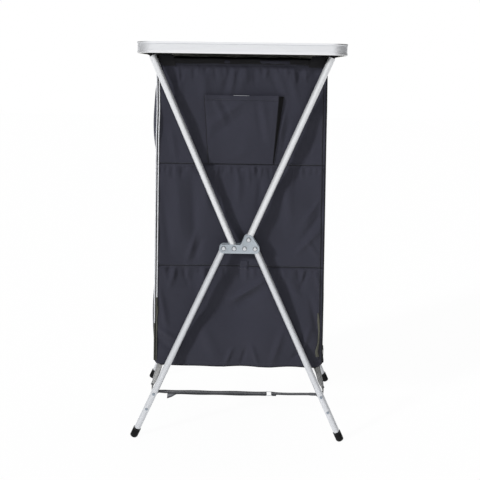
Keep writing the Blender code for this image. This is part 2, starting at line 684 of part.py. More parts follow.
def webbing(name, bm, parent, holes):
    """A band of webbing under its parent, with its rivet holes."""
    base = parent.location
    bmesh.ops.translate(bm, vec=-base, verts=bm.verts[:])
    strap = made(name, bm, WEBBING, parent)
    for i, (x, y) in enumerate(holes):
        reach = strap_rivet_seat() + CUT_MARGIN
        drill = cylinder(STRAP_RIVET_RADIUS + GAP, -reach, reach, "Y", RIVET_SIDES)
        cut(strap, drill, f"{name}_hole_{i}", Vector((x, y, STRAP_HEIGHT)) - base)
    return strap


def flat_start():
    """How far from the middle a near or far strap begins to turn upright."""
    return STRAP_RIVET_X - STRAP_FLAT - TWIST_LENGTH


def strap_y():
    """How far from the middle the near and far straps lie: just inside the tubes."""
    return FRAME_Y - TUBE_RADIUS - GAP - WEB / 2


def near_strap(left, right):
    """The near stretch: doubled back through the ring on the left, looped to it on the right."""
    y = -strap_y()
    low, high = y - WEB_WIDTH / 2, y + WEB_WIDTH / 2
    bar = BUCKLE_WIDTH / 2 - BUCKLE_WIRE
    left_bar, right_bar = BUCKLE_X - bar, BUCKLE_X + bar
    over, under = STRAP_HEIGHT + WEB / 2, STRAP_HEIGHT - WEB * 1.5 - GAP
    middle = (over + under) / 2
    nose = BUCKLE_WIRE + GAP + WEB
    seat = cylinder(BUCKLE_WIRE + GAP, low - CUT_MARGIN, high + CUT_MARGIN, "Y", RIVET_SIDES)

    tail = STRAP_RIVET_X - DOUBLED_INSET
    lifted = STRAP_HEIGHT - WEB / 2
    outline = [(-flat_start(), over), (left_bar - nose, over), *arc((left_bar, middle), nose, 90, -90, 6),
               (left_bar - nose, under), (-tail, under), (-tail - TAIL_LENGTH, under - TAIL_DROP),
               (-tail - TAIL_LENGTH, under - TAIL_DROP + WEB), (-tail, lifted), (-flat_start(), lifted)]
    bm = prism(outline, low, high, "Y")
    upright_end(bm, -1)
    strap = webbing("strap_near_left", bm, left, [(-STRAP_RIVET_X, -FRAME_Y)])
    cut(strap, seat, "strap_near_left_eye", Vector((left_bar, 0, middle)) - left.location)

    outline = [(flat_start(), lifted), (right_bar + LOOP_LENGTH, lifted), (right_bar + LOOP_LENGTH, under),
               *arc((right_bar, middle), nose, 270, 90, 6), (right_bar + nose, over), (flat_start(), over)]
    bm = prism(outline, low, high, "Y")
    upright_end(bm, 1)
    strap = webbing("strap_near_right", bm, right, [(STRAP_RIVET_X, -FRAME_Y)])
    seat = cylinder(BUCKLE_WIRE + GAP, low - CUT_MARGIN, high + CUT_MARGIN, "Y", RIVET_SIDES)
    cut(strap, seat, "strap_near_right_eye", Vector((right_bar, 0, middle)) - right.location)
    strap_buckle(left, y, middle)


def poly_cord(name, points, radius, finish, closed=False):
    """A round cord or wire through points, as a curve with a bevel."""
    curve = bpy.data.curves.new(name, "CURVE")
    curve.dimensions = "3D"
    curve.bevel_depth = radius
    curve.bevel_resolution = 1
    curve.use_fill_caps = not closed
    line = curve.splines.new("POLY")
    line.points.add(len(points) - 1)
    for point, place in zip(line.points, points):
        point.co = (*place, 1)
    line.use_cyclic_u = closed
    curve.materials.append(finish)
    cord = bpy.data.objects.new(name, curve)
    bpy.context.collection.objects.link(cord)
    return cord


def strap_buckle(parent, y, z):
    """The open ring that joins the two parts: a rounded rectangle of wire that lies flat."""
    half_x = BUCKLE_WIDTH / 2 - BUCKLE_WIRE - BUCKLE_CORNER
    half_y = WEB_WIDTH / 2 + BUCKLE_MARGIN
    points = []
    for sx, sy, start in ((1, 1, 0), (-1, 1, 90), (-1, -1, 180), (1, -1, 270)):
        turn = arc((sx * half_x, sy * half_y), BUCKLE_CORNER, start, start + 90, 3)
        points += [(a, b, 0) for a, b in turn]
    ring = poly_cord("strap_buckle", points, BUCKLE_WIRE, ZINC, closed=True)
    ring.parent = parent
    ring.location = Vector((BUCKLE_X, y, z)) - parent.location


def other_straps(legs):
    """The far stretch and the two side stretches, which turn a corner onto each leg."""
    y = strap_y()
    half = WEB_WIDTH / 2
    low, high = STRAP_HEIGHT - WEB / 2, STRAP_HEIGHT + WEB / 2
    far = block((-flat_start(), y - half, low), (flat_start(), y + half, high))
    for side in (-1, 1):
        upright_end(far, side)
    webbing("strap_far", far, legs["far", -1], [(-STRAP_RIVET_X, FRAME_Y), (STRAP_RIVET_X, FRAME_Y)])
    inner = y - WEB - GAP
    reach = inner - STRAP_BEND - SIDE_TWIST_LENGTH
    for side, hand in ((-1, "left"), (1, "right")):
        out = side * (STRAP_RIVET_X + SIDE_STRAP_OUT)
        band = block((out - half, -reach, low), (out + half, reach, high))
        for way in (-1, 1):
            corner_end(band, side, way)
        holes = [(side * STRAP_RIVET_X, -FRAME_Y), (side * STRAP_RIVET_X, FRAME_Y)]
        webbing(f"strap_{hand}_side", band, legs["near", side], holes)


def elastic_loop(name, side, y_sign):
    """A thin cord from the bag's lower corner down to the side strap and back: a narrow V."""
    top = BAG_BOTTOM - GAP * 2
    foot = STRAP_HEIGHT + WEB_WIDTH / 2 + ELASTIC_RADIUS + GAP * 2 + ELASTIC_BEND
    corner_x = bag_half_width(BAG_BOTTOM) - BAG_CORNER
    strap_x = STRAP_RIVET_X + SIDE_STRAP_OUT
    upper_y, lower_y = BAG_Y - CLOTH / 2, BAG_Y - ELASTIC_INSET
    route = [(corner_x - ELASTIC_SPREAD / 2, upper_y, top)]
    route += [(x, lower_y, z) for x, z in arc((strap_x, foot), ELASTIC_BEND, 180, 360, 6)]
    route += [(corner_x + ELASTIC_SPREAD / 2, upper_y, top)]
    poly_cord(name, [(side * x, y_sign * y, z) for x, y, z in route], ELASTIC_RADIUS, ELASTIC)


def build():
    tabletop = axis_empty("tabletop_axis", (0, 0, BOARD_BOTTOM))
    edge_frame(tabletop)
    tabletop_board(tabletop)
    fixed = axis_empty("right_frame", (0, 0, 0))
    fold = axis_empty("frame_fold_axis", (-PIVOT_PITCH / 2, 0, PIVOT_HEIGHT))
    upper_frame("right", 1, fixed)
    upper_frame("left", -1, fold)
    legs = {}
    for where, y in (("near", -FRAME_Y), ("far", FRAME_Y)):
        folding_bracket(where, y, fixed)
        for side in (-1, 1):
            legs[where, side] = leg(where, y, side)
    face_panel("near_panel", -1)
    face_panel("far_panel", 1)
    side_cloth()
    door_batten()
    shelves()
    patch_pocket()
    near_strap(legs["near", -1], legs["near", 1])
    other_straps(legs)
    for where, y_sign in (("near", -1), ("far", 1)):
        for hand, side in (("left", -1), ("right", 1)):
            elastic_loop(f"elastic_{where}_{hand}", side, y_sign)
    print("fold", round(math.degrees(2 * UPPER_LEAN), 3), "leg lean", round(math.degrees(LOWER_LEAN), 3))


build()
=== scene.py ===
# %% [markdown]
# # A folding camp cupboard
#
# The real thing is a framed tabletop on two crossed pairs of tubes, with a fabric bag hung from two top
# rails. Its CAD model is packed already: this script only dresses it. Every piece below is made in metres, in
# the same frame as the CAD, so a piece goes where the CAD says. Pieces of the same kind share one helper.

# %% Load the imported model
import json
import math

import bmesh
import bpy
import numpy as np
from mathutils import Matrix, Vector


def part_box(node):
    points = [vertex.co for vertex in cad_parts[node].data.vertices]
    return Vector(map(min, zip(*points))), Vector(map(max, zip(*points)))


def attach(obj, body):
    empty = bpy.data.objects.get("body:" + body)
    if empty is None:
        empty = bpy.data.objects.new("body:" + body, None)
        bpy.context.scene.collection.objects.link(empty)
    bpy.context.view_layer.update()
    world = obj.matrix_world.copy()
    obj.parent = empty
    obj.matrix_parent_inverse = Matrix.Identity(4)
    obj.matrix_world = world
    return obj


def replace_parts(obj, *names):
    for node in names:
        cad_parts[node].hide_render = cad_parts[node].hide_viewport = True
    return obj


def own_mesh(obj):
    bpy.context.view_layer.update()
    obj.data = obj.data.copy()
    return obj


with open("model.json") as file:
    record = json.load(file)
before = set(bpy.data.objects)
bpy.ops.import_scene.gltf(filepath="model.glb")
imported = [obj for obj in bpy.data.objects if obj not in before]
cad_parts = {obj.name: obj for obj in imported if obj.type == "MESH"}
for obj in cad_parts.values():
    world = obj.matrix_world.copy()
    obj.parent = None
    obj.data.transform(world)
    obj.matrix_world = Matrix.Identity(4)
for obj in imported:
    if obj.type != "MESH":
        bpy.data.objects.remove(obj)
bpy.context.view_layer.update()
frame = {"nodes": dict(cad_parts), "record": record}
nodes = frame["nodes"]
BODY = {node: body for body, held in frame["record"]["behaviour"]["bodies"].items() for node in held}

# %% [markdown]
# ## Camera
#
# The photograph was taken a little to the right of the middle, at about tabletop height, looking down ten
# degrees. A camera can be aimed by a constraint or by its matrix. The matrix is built here from three turns,
# in the order yaw, pitch, roll, so that each number can be read and nothing has to be solved.

# %% Camera
CAMERA_PLACE = (0.0201, -2.1126, 1.0918)
CAMERA_YAW, CAMERA_PITCH, CAMERA_ROLL = 0.0109, math.radians(-9.8), 0.0146

lens = bpy.data.cameras.new("photo_camera")
lens.sensor_width = 36.0
lens.lens = 51.25
lens.shift_y = -0.1045
camera = bpy.data.objects.new("photo_camera", lens)
bpy.context.collection.objects.link(camera)
aim = Matrix.Rotation(CAMERA_YAW, 4, "Z") @ Matrix.Rotation(math.pi / 2 + CAMERA_PITCH, 4, "X")
camera.matrix_world = Matrix.Translation(CAMERA_PLACE) @ aim @ Matrix.Rotation(CAMERA_ROLL, 4, "Z")
bpy.context.scene.camera = camera
bpy.context.scene.view_settings.view_transform = "Standard"
print("lens", lens.lens, "mm")

# %% [markdown]
# ## Light
#
# Three lights do different jobs. A small sun, low on the left, draws the tubes' shadows on the cloth. A large
# softbox above the camera lights the front evenly. A white world fills the rest: it is weaker on the camera's
# side, and metal sees it fade at both sides, which gives the round tubes their dark edges.

# %% Sun and softbox
SUN_AZIMUTH, SUN_ELEVATION, SUN_ANGLE = math.radians(53), math.radians(20), math.radians(7)
SUN_STRENGTH = 2.5
SOFTBOX_PLACE, SOFTBOX_AIM = Vector((0.3, -3.4, 1.7)), Vector((0, 0, 0.7))
SOFTBOX_SIZE, SOFTBOX_POWER = 2.4, 17.0


def add_light(name, kind, strength, matrix):
    """A light that casts shadows but isn't mirrored in the metal."""
    data = bpy.data.lights.new(name, kind)
    data.energy = strength
    light = bpy.data.objects.new(name, data)
    bpy.context.collection.objects.link(light)
    light.visible_glossy = False
    light.matrix_world = matrix
    return data


level = math.cos(SUN_ELEVATION)
to_sun = Vector((-math.sin(SUN_AZIMUTH) * level, -math.cos(SUN_AZIMUTH) * level, math.sin(SUN_ELEVATION)))
sun = add_light("key_sun", "SUN", SUN_STRENGTH, to_sun.to_track_quat("Z", "Y").to_matrix().to_4x4())
sun.angle = SUN_ANGLE
facing = (SOFTBOX_PLACE - SOFTBOX_AIM).to_track_quat("Z", "Y").to_matrix().to_4x4()
softbox = add_light("softbox", "AREA", SOFTBOX_POWER, Matrix.Translation(SOFTBOX_PLACE) @ facing)
softbox.size = SOFTBOX_SIZE
print("lights:", [light.name for light in bpy.data.lights])

# %% World
# Each grade: the world's axis, where along it the change starts and ends, and the strength at both.
FRONT_FILL = ("Y", -0.10, 0.70, 0.22, 1.0)
RIGHT_SHINE = ("X", 0.25, 0.85, 1.0, 0.03)
LEFT_SHINE = ("X", -0.95, -0.45, 0.20, 1.0)

world = bpy.data.worlds.new("studio")
world.use_nodes = True
bpy.context.scene.world = world
air = world.node_tree
rays = air.nodes.new("ShaderNodeLightPath")
split = air.nodes.new("ShaderNodeSeparateXYZ")
air.links.new(air.nodes.new("ShaderNodeTexCoord").outputs["Generated"], split.inputs[0])


def graded(axis, start, end, low, high):
    """A strength that changes with the direction along one of the world's axes."""
    step = air.nodes.new("ShaderNodeMapRange")
    for socket, value in (("From Min", start), ("From Max", end), ("To Min", low), ("To Max", high)):
        step.inputs[socket].default_value = value
    air.links.new(split.outputs[axis], step.inputs["Value"])
    return step.outputs["Result"]


def combined(operation, first, second):
    """Two strengths multiplied, or the greater of them."""
    step = air.nodes.new("ShaderNodeMath")
    step.operation = operation
    air.links.new(first, step.inputs[0])
    air.links.new(second, step.inputs[1])
    return step.outputs[0]


both_sides = combined("MULTIPLY", graded(*RIGHT_SHINE), graded(*LEFT_SHINE))
lit = air.nodes.new("ShaderNodeMix")
air.links.new(graded(*FRONT_FILL), lit.inputs["A"])
air.links.new(both_sides, lit.inputs["B"])
air.links.new(rays.outputs["Is Glossy Ray"], lit.inputs["Factor"])
strength = air.nodes.new("ShaderNodeMix")
strength.inputs["B"].default_value = 1.0
air.links.new(lit.outputs["Result"], strength.inputs["A"])
seen_straight = combined("MAXIMUM", rays.outputs["Is Camera Ray"], rays.outputs["Is Transmission Ray"])
air.links.new(seen_straight, strength.inputs["Factor"])
air.links.new(strength.outputs["Result"], air.nodes["Background"].inputs["Strength"])
air.nodes["Background"].inputs["Color"].default_value = (1, 1, 1, 1)
print("world nodes:", len(air.nodes))

# %% [markdown]
# ## Floor
#
# The floor stands for a lit studio sweep. A diffuse grey alone would render darker than the backdrop, so for
# the camera and for reflections it is mostly a steady white. A small diffuse share keeps the feet's shadow.

# %% Floor
FLOOR_SIZE = 30.0
FLOOR_GREY, FLOOR_GLOW, FLOOR_SHADOW_SHARE = 0.86, 1.018, 0.06


def white_sweep():
    """A diffuse surface for light, and mostly an even white for the camera and for reflections."""
    made = bpy.data.materials.new("white_sweep")
    made.use_nodes = True
    tree = made.node_tree
    shader = tree.nodes["Principled BSDF"]
    shader.inputs["Base Color"].default_value = (FLOOR_GREY, FLOOR_GREY, FLOOR_GREY, 1)
    shader.inputs["Roughness"].default_value = 0.9
    shader.inputs["Specular IOR Level"].default_value = 0.0
    glow = tree.nodes.new("ShaderNodeEmission")
    glow.inputs["Strength"].default_value = FLOOR_GLOW
    path = tree.nodes.new("ShaderNodeLightPath")
    shown = tree.nodes.new("ShaderNodeMath")
    shown.operation = "MAXIMUM"
    tree.links.new(path.outputs["Is Camera Ray"], shown.inputs[0])
    tree.links.new(path.outputs["Is Glossy Ray"], shown.inputs[1])
    share = tree.nodes.new("ShaderNodeMath")
    share.operation = "MULTIPLY"
    share.inputs[1].default_value = 1 - FLOOR_SHADOW_SHARE
    tree.links.new(shown.outputs[0], share.inputs[0])
    mix = tree.nodes.new("ShaderNodeMixShader")
    tree.links.new(share.outputs[0], mix.inputs["Fac"])
    tree.links.new(shader.outputs[0], mix.inputs[1])
    tree.links.new(glow.outputs[0], mix.inputs[2])
    tree.links.new(mix.outputs[0], tree.nodes["Material Output"].inputs["Surface"])
    return made


floor_bm = bmesh.new()
bmesh.ops.create_grid(floor_bm, x_segments=1, y_segments=1, size=FLOOR_SIZE / 2)
floor_mesh = bpy.data.meshes.new("floor")
floor_bm.to_mesh(floor_mesh)
floor_bm.free()
floor_mesh.materials.append(white_sweep())
floor = bpy.data.objects.new("floor", floor_mesh)
bpy.context.collection.objects.link(floor)
print("floor:", FLOOR_SIZE, "m wide")

# %% [markdown]
# ## Finishes
#
# Each finish is a Principled shader whose colour, roughness and bump come from a few texture nodes. Images
# would do as well, but nodes stay sharp at any distance and need no files. A number that is the same all over
# a surface is set on the shader's own socket. Woven finishes read the piece's UV map, which is in metres, so
# a thread has its real size. Metal and moulded finishes read Object coordinates.

# %% Helpers that add nodes


def add_node(tree, kind, **inputs):
    """A node of a kind, with its inputs set by name (an underscore stands for a space)."""
    node = tree.nodes.new("ShaderNode" + kind)
    for name, value in inputs.items():
        node.inputs[name.replace("_", " ")].default_value = value
    return node


def new_finish(name, roughness, metallic=0.0, specular=0.5):
    """A material, its node tree and its shader."""
    finish = bpy.data.materials.new(name)
    finish.use_nodes = True
    tree = finish.node_tree
    shader = tree.nodes["Principled BSDF"]
    shader.inputs["Roughness"].default_value = roughness
    shader.inputs["Metallic"].default_value = metallic
    shader.inputs["Specular IOR Level"].default_value = specular
    return finish, tree, shader


def texture_on(tree, place, kind, **inputs):
    """A texture node that reads the place it is given."""
    texture = add_node(tree, "Tex" + kind, **inputs)
    tree.links.new(place, texture.inputs["Vector"])
    return texture


def shades(colour, spread):
    """A darker and a lighter version of a colour."""
    return tuple(c * (1 - spread) for c in colour), tuple(c * (1 + spread) for c in colour)


def two_tones(tree, factor, dark, light):
    """A ramp between two tones."""
    ramp = tree.nodes.new("ShaderNodeValToRGB")
    ramp.color_ramp.elements[0].color = (*dark, 1)
    ramp.color_ramp.elements[1].color = (*light, 1)
    tree.links.new(factor, ramp.inputs["Fac"])
    return ramp


print("two shades of a grey:", shades((0.5, 0.5, 0.5), 0.1))

# %% Helpers that drive the shader


def tinted(tree, shader, factor, dark, light):
    """Drives the base colour between two tones."""
    tree.links.new(two_tones(tree, factor, dark, light).outputs["Color"], shader.inputs["Base Color"])


def rough_between(tree, shader, factor, low, high):
    """Drives the roughness between two values."""
    span = add_node(tree, "MapRange", To_Min=low, To_Max=high)
    tree.links.new(factor, span.inputs["Value"])
    tree.links.new(span.outputs["Result"], shader.inputs["Roughness"])


def raised(tree, shader, height, distance, strength=1.0, under=None):
    """Bumps the surface by a height from 0 to 1, on top of another bump if one is given."""
    bump = add_node(tree, "Bump", Strength=strength, Distance=distance)
    tree.links.new(height, bump.inputs["Height"])
    if under:
        tree.links.new(under.outputs["Normal"], bump.inputs["Normal"])
    tree.links.new(bump.outputs["Normal"], shader.inputs["Normal"])
    return bump


print("shader inputs that the helpers drive:", ("Base Color", "Roughness", "Normal"))

# %% Woven finishes
WAVE_UNIT = math.tau / 20


def woven_finish(name, colour, pitch, relief=0.00012, roughness=(0.72, 0.92), sheen=0.10):
    """A plain weave on UVs in metres: two crossed sets of threads, with slow changes of tone over them."""
    finish, tree, shader = new_finish(name, roughness[0], specular=0.28)
    shader.inputs["Sheen Weight"].default_value = sheen
    shader.inputs["Sheen Roughness"].default_value = 0.45
    place = tree.nodes.new("ShaderNodeTexCoord").outputs["UV"]
    crossed = add_node(tree, "Math")
    crossed.operation = "MULTIPLY"
    for number, direction in enumerate("XY"):
        wave = texture_on(tree, place, "Wave", Scale=WAVE_UNIT / pitch, Distortion=0.35, Detail=1.0)
        wave.bands_direction = direction
        tree.links.new(wave.outputs["Fac"], crossed.inputs[number])
    clouds = texture_on(tree, place, "Noise", Scale=9.0, Detail=5.0, Roughness=0.6)
    blend = add_node(tree, "Mix", Factor=0.30)
    tree.links.new(clouds.outputs["Fac"], blend.inputs["A"])
    tree.links.new(crossed.outputs[0], blend.inputs["B"])
    tinted(tree, shader, blend.outputs["Result"], *shades(colour, 0.16))
    rough_between(tree, shader, clouds.outputs["Fac"], *roughness)
    crumple = texture_on(tree, place, "Noise", Scale=70.0, Detail=3.0)
    soft = raised(tree, shader, crumple.outputs["Fac"], 0.0009, 0.35)
    raised(tree, shader, crossed.outputs[0], relief, 0.6, under=soft)
    return finish


bag_cloth = woven_finish("bag_cloth", (0.0345, 0.0350, 0.0490), 0.0008)
side_cloth = woven_finish("side_cloth", (0.026, 0.028, 0.046), 0.0008)
inner_coating = woven_finish(
    "inner_coating", (0.200, 0.205, 0.172), 0.0008, roughness=(0.45, 0.65), sheen=0.0
)
# Black tape for the real bindings; the same finish also paints shade as black cords and tabs.
binding_tape_and_painted_shade = woven_finish("binding_tape_and_painted_shade", (0.013, 0.013, 0.015), 0.0009)
# Near-black cloth on the pocket's right gusset: painted shade for the gusset's shade.
gusset_painted_shade = woven_finish("gusset_painted_shade", (0.0045, 0.0045, 0.0052), 0.0009, sheen=0.0)
zip_tape = woven_finish("zip_tape", (0.33, 0.34, 0.36), 0.0007)
seam_allowance = woven_finish("seam_allowance", (0.088, 0.088, 0.072), 0.0007)
zip_piping = woven_finish("zip_piping", (0.72, 0.73, 0.76), 0.0006)
dark_elastic = woven_finish("dark_elastic", (0.10, 0.10, 0.105), 0.0006)
thread = woven_finish("thread", (0.075, 0.080, 0.095), 0.0004, relief=0.00005)
pale_elastic = woven_finish("pale_elastic", (0.36, 0.36, 0.37), 0.0006)
print("woven finishes:", len(bpy.data.materials) - 1)

# %% Webbing
WEB_WIDTH, RIB_PITCH = 0.020, 0.0012
EDGE_START, EDGE_FULL = 0.45 * WEB_WIDTH / 2, 0.80 * WEB_WIDTH / 2


def webbing_finish(name, middle, edge):
    """Ribbed webbing with two darker edges; v of its UVs is the distance from its middle line."""
    finish, tree, shader = new_finish(name, 0.8, specular=0.25)
    shader.inputs["Sheen Weight"].default_value = 0.15
    place = tree.nodes.new("ShaderNodeTexCoord").outputs["UV"]
    parts = tree.nodes.new("ShaderNodeSeparateXYZ")
    tree.links.new(place, parts.inputs[0])
    aside = add_node(tree, "Math")
    aside.operation = "ABSOLUTE"
    tree.links.new(parts.outputs["Y"], aside.inputs[0])
    band = add_node(tree, "MapRange", From_Min=EDGE_START, From_Max=EDGE_FULL)
    tree.links.new(aside.outputs[0], band.inputs["Value"])
    tinted(tree, shader, band.outputs["Result"], middle, edge)
    ribs = texture_on(tree, place, "Wave", Scale=WAVE_UNIT / RIB_PITCH, Distortion=0.6, Detail=1.0)
    raised(tree, shader, ribs.outputs["Fac"], 0.0003, 0.8)
    return finish


# The near and far straps take a darker copy of the side straps' webbing: painted shade for the shade on the
# near stretch.
webbing = webbing_finish("webbing", (0.19, 0.195, 0.21), (0.040, 0.042, 0.048))
side_webbing = webbing_finish("side_webbing", (0.43, 0.435, 0.425), (0.26, 0.265, 0.26))
print("webbing:", WEB_WIDTH * 1000, "mm wide")

# %% [markdown]
# ## Metal and moulded finishes
#
# The extrusion and the tubes are satin anodised aluminium, which scatters light almost like paint, so they
# are only partly metallic. Their grain is noise stretched one way: a mirror-smooth metal would look like
# chrome. The folding plates are zinc plated: a mottled grey from large flat crystals.

# %% Metal finishes


def satin_metal(name, colour, roughness, metallic, grain, spread=0.04):
    """Brushed or drawn metal: noise stretched along the grain changes tone, gloss and height a little."""
    finish, tree, shader = new_finish(name, roughness, metallic)
    stretch = tree.nodes.new("ShaderNodeMapping")
    stretch.inputs["Scale"].default_value = grain
    tree.links.new(tree.nodes.new("ShaderNodeTexCoord").outputs["Object"], stretch.inputs["Vector"])
    streaks = texture_on(tree, stretch.outputs[0], "Noise", Scale=1.0, Detail=4.0, Roughness=0.65)
    tinted(tree, shader, streaks.outputs["Fac"], *shades(colour, spread))
    rough_between(tree, shader, streaks.outputs["Fac"], roughness - 0.08, roughness + 0.10)
    raised(tree, shader, streaks.outputs["Fac"], 0.00004, 0.5)
    return finish


def mottled_zinc(name, colour):
    """Zinc plating: cells of slightly different greys, with a fine tooth over them."""
    finish, tree, shader = new_finish(name, 0.45, 0.55)
    place = tree.nodes.new("ShaderNodeTexCoord").outputs["Object"]
    cells = texture_on(tree, place, "Voronoi", Scale=420.0)
    fine = texture_on(tree, place, "Noise", Scale=900.0, Detail=4.0)
    blend = add_node(tree, "Mix", Factor=0.5)
    tree.links.new(cells.outputs["Color"], blend.inputs["A"])
    tree.links.new(fine.outputs["Fac"], blend.inputs["B"])
    tinted(tree, shader, blend.outputs["Result"], *shades(colour, 0.16))
    rough_between(tree, shader, fine.outputs["Fac"], 0.34, 0.56)
    raised(tree, shader, fine.outputs["Fac"], 0.00006, 0.7)
    return finish


BRUSHED, DRAWN, EVEN = (6.0, 6.0, 900.0), (300.0, 300.0, 14.0), (200.0, 200.0, 200.0)
edge_aluminium = satin_metal("edge_aluminium", (0.89, 0.90, 0.92), 0.40, 0.88, BRUSHED)
tube_silver = satin_metal("tube_silver", (0.80, 0.81, 0.83), 0.44, 0.62, DRAWN)
# The lower tubes are the same tube as the upper ones; their darker copy of the finish is painted shade.
leg_silver_painted_shade = satin_metal("leg_silver_painted_shade", (0.70, 0.715, 0.745), 0.44, 0.62, DRAWN)
# The rim's inner faces: dull olive grey instead of bright metal, painted shade for the dark under the board.
rim_inside_painted_shade = satin_metal("rim_inside_painted_shade", (0.60, 0.60, 0.54), 0.75, 0.0, (60.0, 60.0, 60.0), spread=0.15)
ring_shadow = satin_metal("ring_shadow", (0.10, 0.105, 0.11), 0.55, 0.3, EVEN, spread=0.2)
zinc_plate = mottled_zinc("zinc_plate", (0.43, 0.475, 0.52))
rivet_steel = satin_metal("rivet_steel", (0.66, 0.68, 0.71), 0.24, 1.0, EVEN)
leg_rivet = satin_metal("leg_rivet", (0.30, 0.34, 0.39), 0.26, 0.9, EVEN)
print("metal finishes: tubes, legs, edge, ring, plates and two kinds of rivet")

# %% Moulded and board finishes


def moulded(name, colour, roughness):
    """Moulded plastic with a fine spark-eroded grain."""
    finish, tree, shader = new_finish(name, roughness, specular=0.14)
    place = tree.nodes.new("ShaderNodeTexCoord").outputs["Object"]
    grain = texture_on(tree, place, "Noise", Scale=1400.0, Detail=2.0)
    wear = texture_on(tree, place, "Noise", Scale=45.0, Detail=4.0)
    tinted(tree, shader, wear.outputs["Fac"], *shades(colour, 0.25))
    rough_between(tree, shader, wear.outputs["Fac"], roughness - 0.10, roughness + 0.12)
    raised(tree, shader, grain.outputs["Fac"], 0.00008, 0.6)
    return finish


def laminate(name, face, underside):
    """A speckled laminate above and a dark backing sheet below, told apart by which way the surface looks."""
    finish, tree, shader = new_finish(name, 0.42)
    where = tree.nodes.new("ShaderNodeTexCoord")
    speckle = texture_on(tree, where.outputs["Object"], "Noise", Scale=900.0, Detail=5.0, Roughness=0.75)
    tones = two_tones(tree, speckle.outputs["Fac"], *shades(face, 0.22))
    tones.color_ramp.elements[0].position, tones.color_ramp.elements[1].position = 0.38, 0.62
    parts = tree.nodes.new("ShaderNodeSeparateXYZ")
    tree.links.new(where.outputs["Normal"], parts.inputs[0])
    mix = add_node(tree, "Mix")
    mix.data_type = "RGBA"
    mix.inputs["A"].default_value = (*underside, 1)
    tree.links.new(parts.outputs["Z"], mix.inputs["Factor"])
    tree.links.new(tones.outputs["Color"], mix.inputs["B"])
    tree.links.new(mix.outputs["Result"], shader.inputs["Base Color"])
    rough_between(tree, shader, speckle.outputs["Fac"], 0.34, 0.52)
    raised(tree, shader, speckle.outputs["Fac"], 0.00005, 0.5)
    return finish


black_plastic = moulded("black_plastic", (0.005, 0.005, 0.0055), 0.40)
board_laminate = laminate("board_laminate", (0.30, 0.30, 0.31), (0.012, 0.012, 0.013))
shelf_board = moulded("shelf_board", (0.035, 0.036, 0.040), 0.7)
print("finishes:", len(bpy.data.materials))

# %% [markdown]
# ## Sheets
#
# Cloth, tape and thin strips all start as a flat grid whose UVs are its cut size in metres. One function
# then bends the grid: it takes the place across and along the cut, each from 0 to 1, and gives x, y and z.
# Solidify adds the thickness, with the coating of the cloth's inner side as a second finish. No cloth
# simulation was needed: the bag is held at so many places that its folds can be placed one by one.

# %% Sheet helper
CLOTH, SHARP_ANGLE = 0.0009, math.radians(40)


def as_object(name, bm, finish, body):
    """A finished bmesh as an object that rides on a body."""
    mesh = bpy.data.meshes.new(name)
    bm.to_mesh(mesh)
    bm.free()
    mesh.materials.append(finish)
    mesh.shade_smooth()
    mesh.set_sharp_from_angle(angle=SHARP_ANGLE)
    thing = bpy.data.objects.new(name, mesh)
    bpy.context.collection.objects.link(thing)
    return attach(thing, body)


def bent_sheet(
    name, columns, rows, place, cut, finish, body="root",
    thickness=CLOTH, backing=None, offset=-1.0, crowd=None, uv_start=(0.0, 0.0),
):
    """A grid of the cut's size in metres, bent by place(across, along), facing the way across turns to along.

    crowd moves the rows along the cut, to have more of them where a seam needs them.
    """
    bm = bmesh.new()
    bm.loops.layers.uv.new("cut")
    bmesh.ops.create_grid(bm, x_segments=columns, y_segments=rows, size=1.0, calc_uvs=True)
    piece = as_object(name, bm, finish, body)
    mesh = piece.data
    flat = np.zeros(len(mesh.vertices) * 3)
    mesh.vertices.foreach_get("co", flat)
    flat = (flat.reshape(-1, 3) + 1) / 2
    uv = np.zeros(len(mesh.loops) * 2)
    layer = mesh.uv_layers["cut"].data
    layer.foreach_get("uv", uv)
    uv = uv.reshape(-1, 2)
    if crowd:
        flat[:, 1], uv[:, 1] = crowd(flat[:, 1]), crowd(uv[:, 1])
    mesh.vertices.foreach_set("co", np.column_stack(place(flat[:, 0], flat[:, 1])).ravel())
    layer.foreach_set("uv", (uv * cut + uv_start).ravel())
    mesh.update()
    if thickness:
        shell = piece.modifiers.new("cloth", "SOLIDIFY")
        shell.thickness = thickness
        shell.offset = offset
        if backing:
            mesh.materials.append(backing)
            shell.material_offset = 1
    return piece


print("cloth:", CLOTH * 1000, "mm thick")

# %% [markdown]
# ## The shape of the bag
#
# The bag hangs between the frames and widens towards the floor. Its faces are held flat by the shelves and
# hang free between them: under the middle shelf the cloth is drawn in, and at the bottom it bellies out
# towards the legs. Each fold is a soft ridge or valley from one point of the face to another.

# %% Sizes read from the frame


def centre_of(box):
    """The middle of a box, given by its two corners."""
    return (box[0] + box[1]) / 2


near_low, near_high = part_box("near_panel")
rail_low, rail_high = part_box("right_top_rail")
RAIL_X, RAIL_Z = (rail_low.x + rail_high.x) / 2, (rail_low.z + rail_high.z) / 2
RAIL_RADIUS = (rail_high.z - rail_low.z) / 2
FRAME_Y = centre_of(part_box("lower_tube_far_left")).y
BAG_Y = -near_low.y
BAG_TOP, BAG_BOTTOM = near_high.z, near_low.z
BAG_INSET, BAG_FLARE, BAG_ROUND = 0.0147, 0.0308, 0.018
LOWER_SEAM, UPPER_SEAM = SEAMS = [centre_of(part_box(shelf)).z for shelf in ("middle_shelf", "top_shelf")]
HEADER_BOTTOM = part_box("door_header")[0].z
print("bag", BAG_BOTTOM, "to", BAG_TOP, "seams", [round(z, 4) for z in SEAMS])


def bag_half(z):
    """Half the bag's width at a height."""
    return RAIL_X - BAG_INSET + BAG_FLARE / 2 * (BAG_TOP - z) / (BAG_TOP - BAG_BOTTOM)


def face_half(z):
    """Half a face's width: the bag's, drawn in round the lower corners."""
    short = np.clip(BAG_ROUND - (z - BAG_BOTTOM), 0, BAG_ROUND)
    return bag_half(z) - (BAG_ROUND - np.sqrt(BAG_ROUND**2 - short**2))


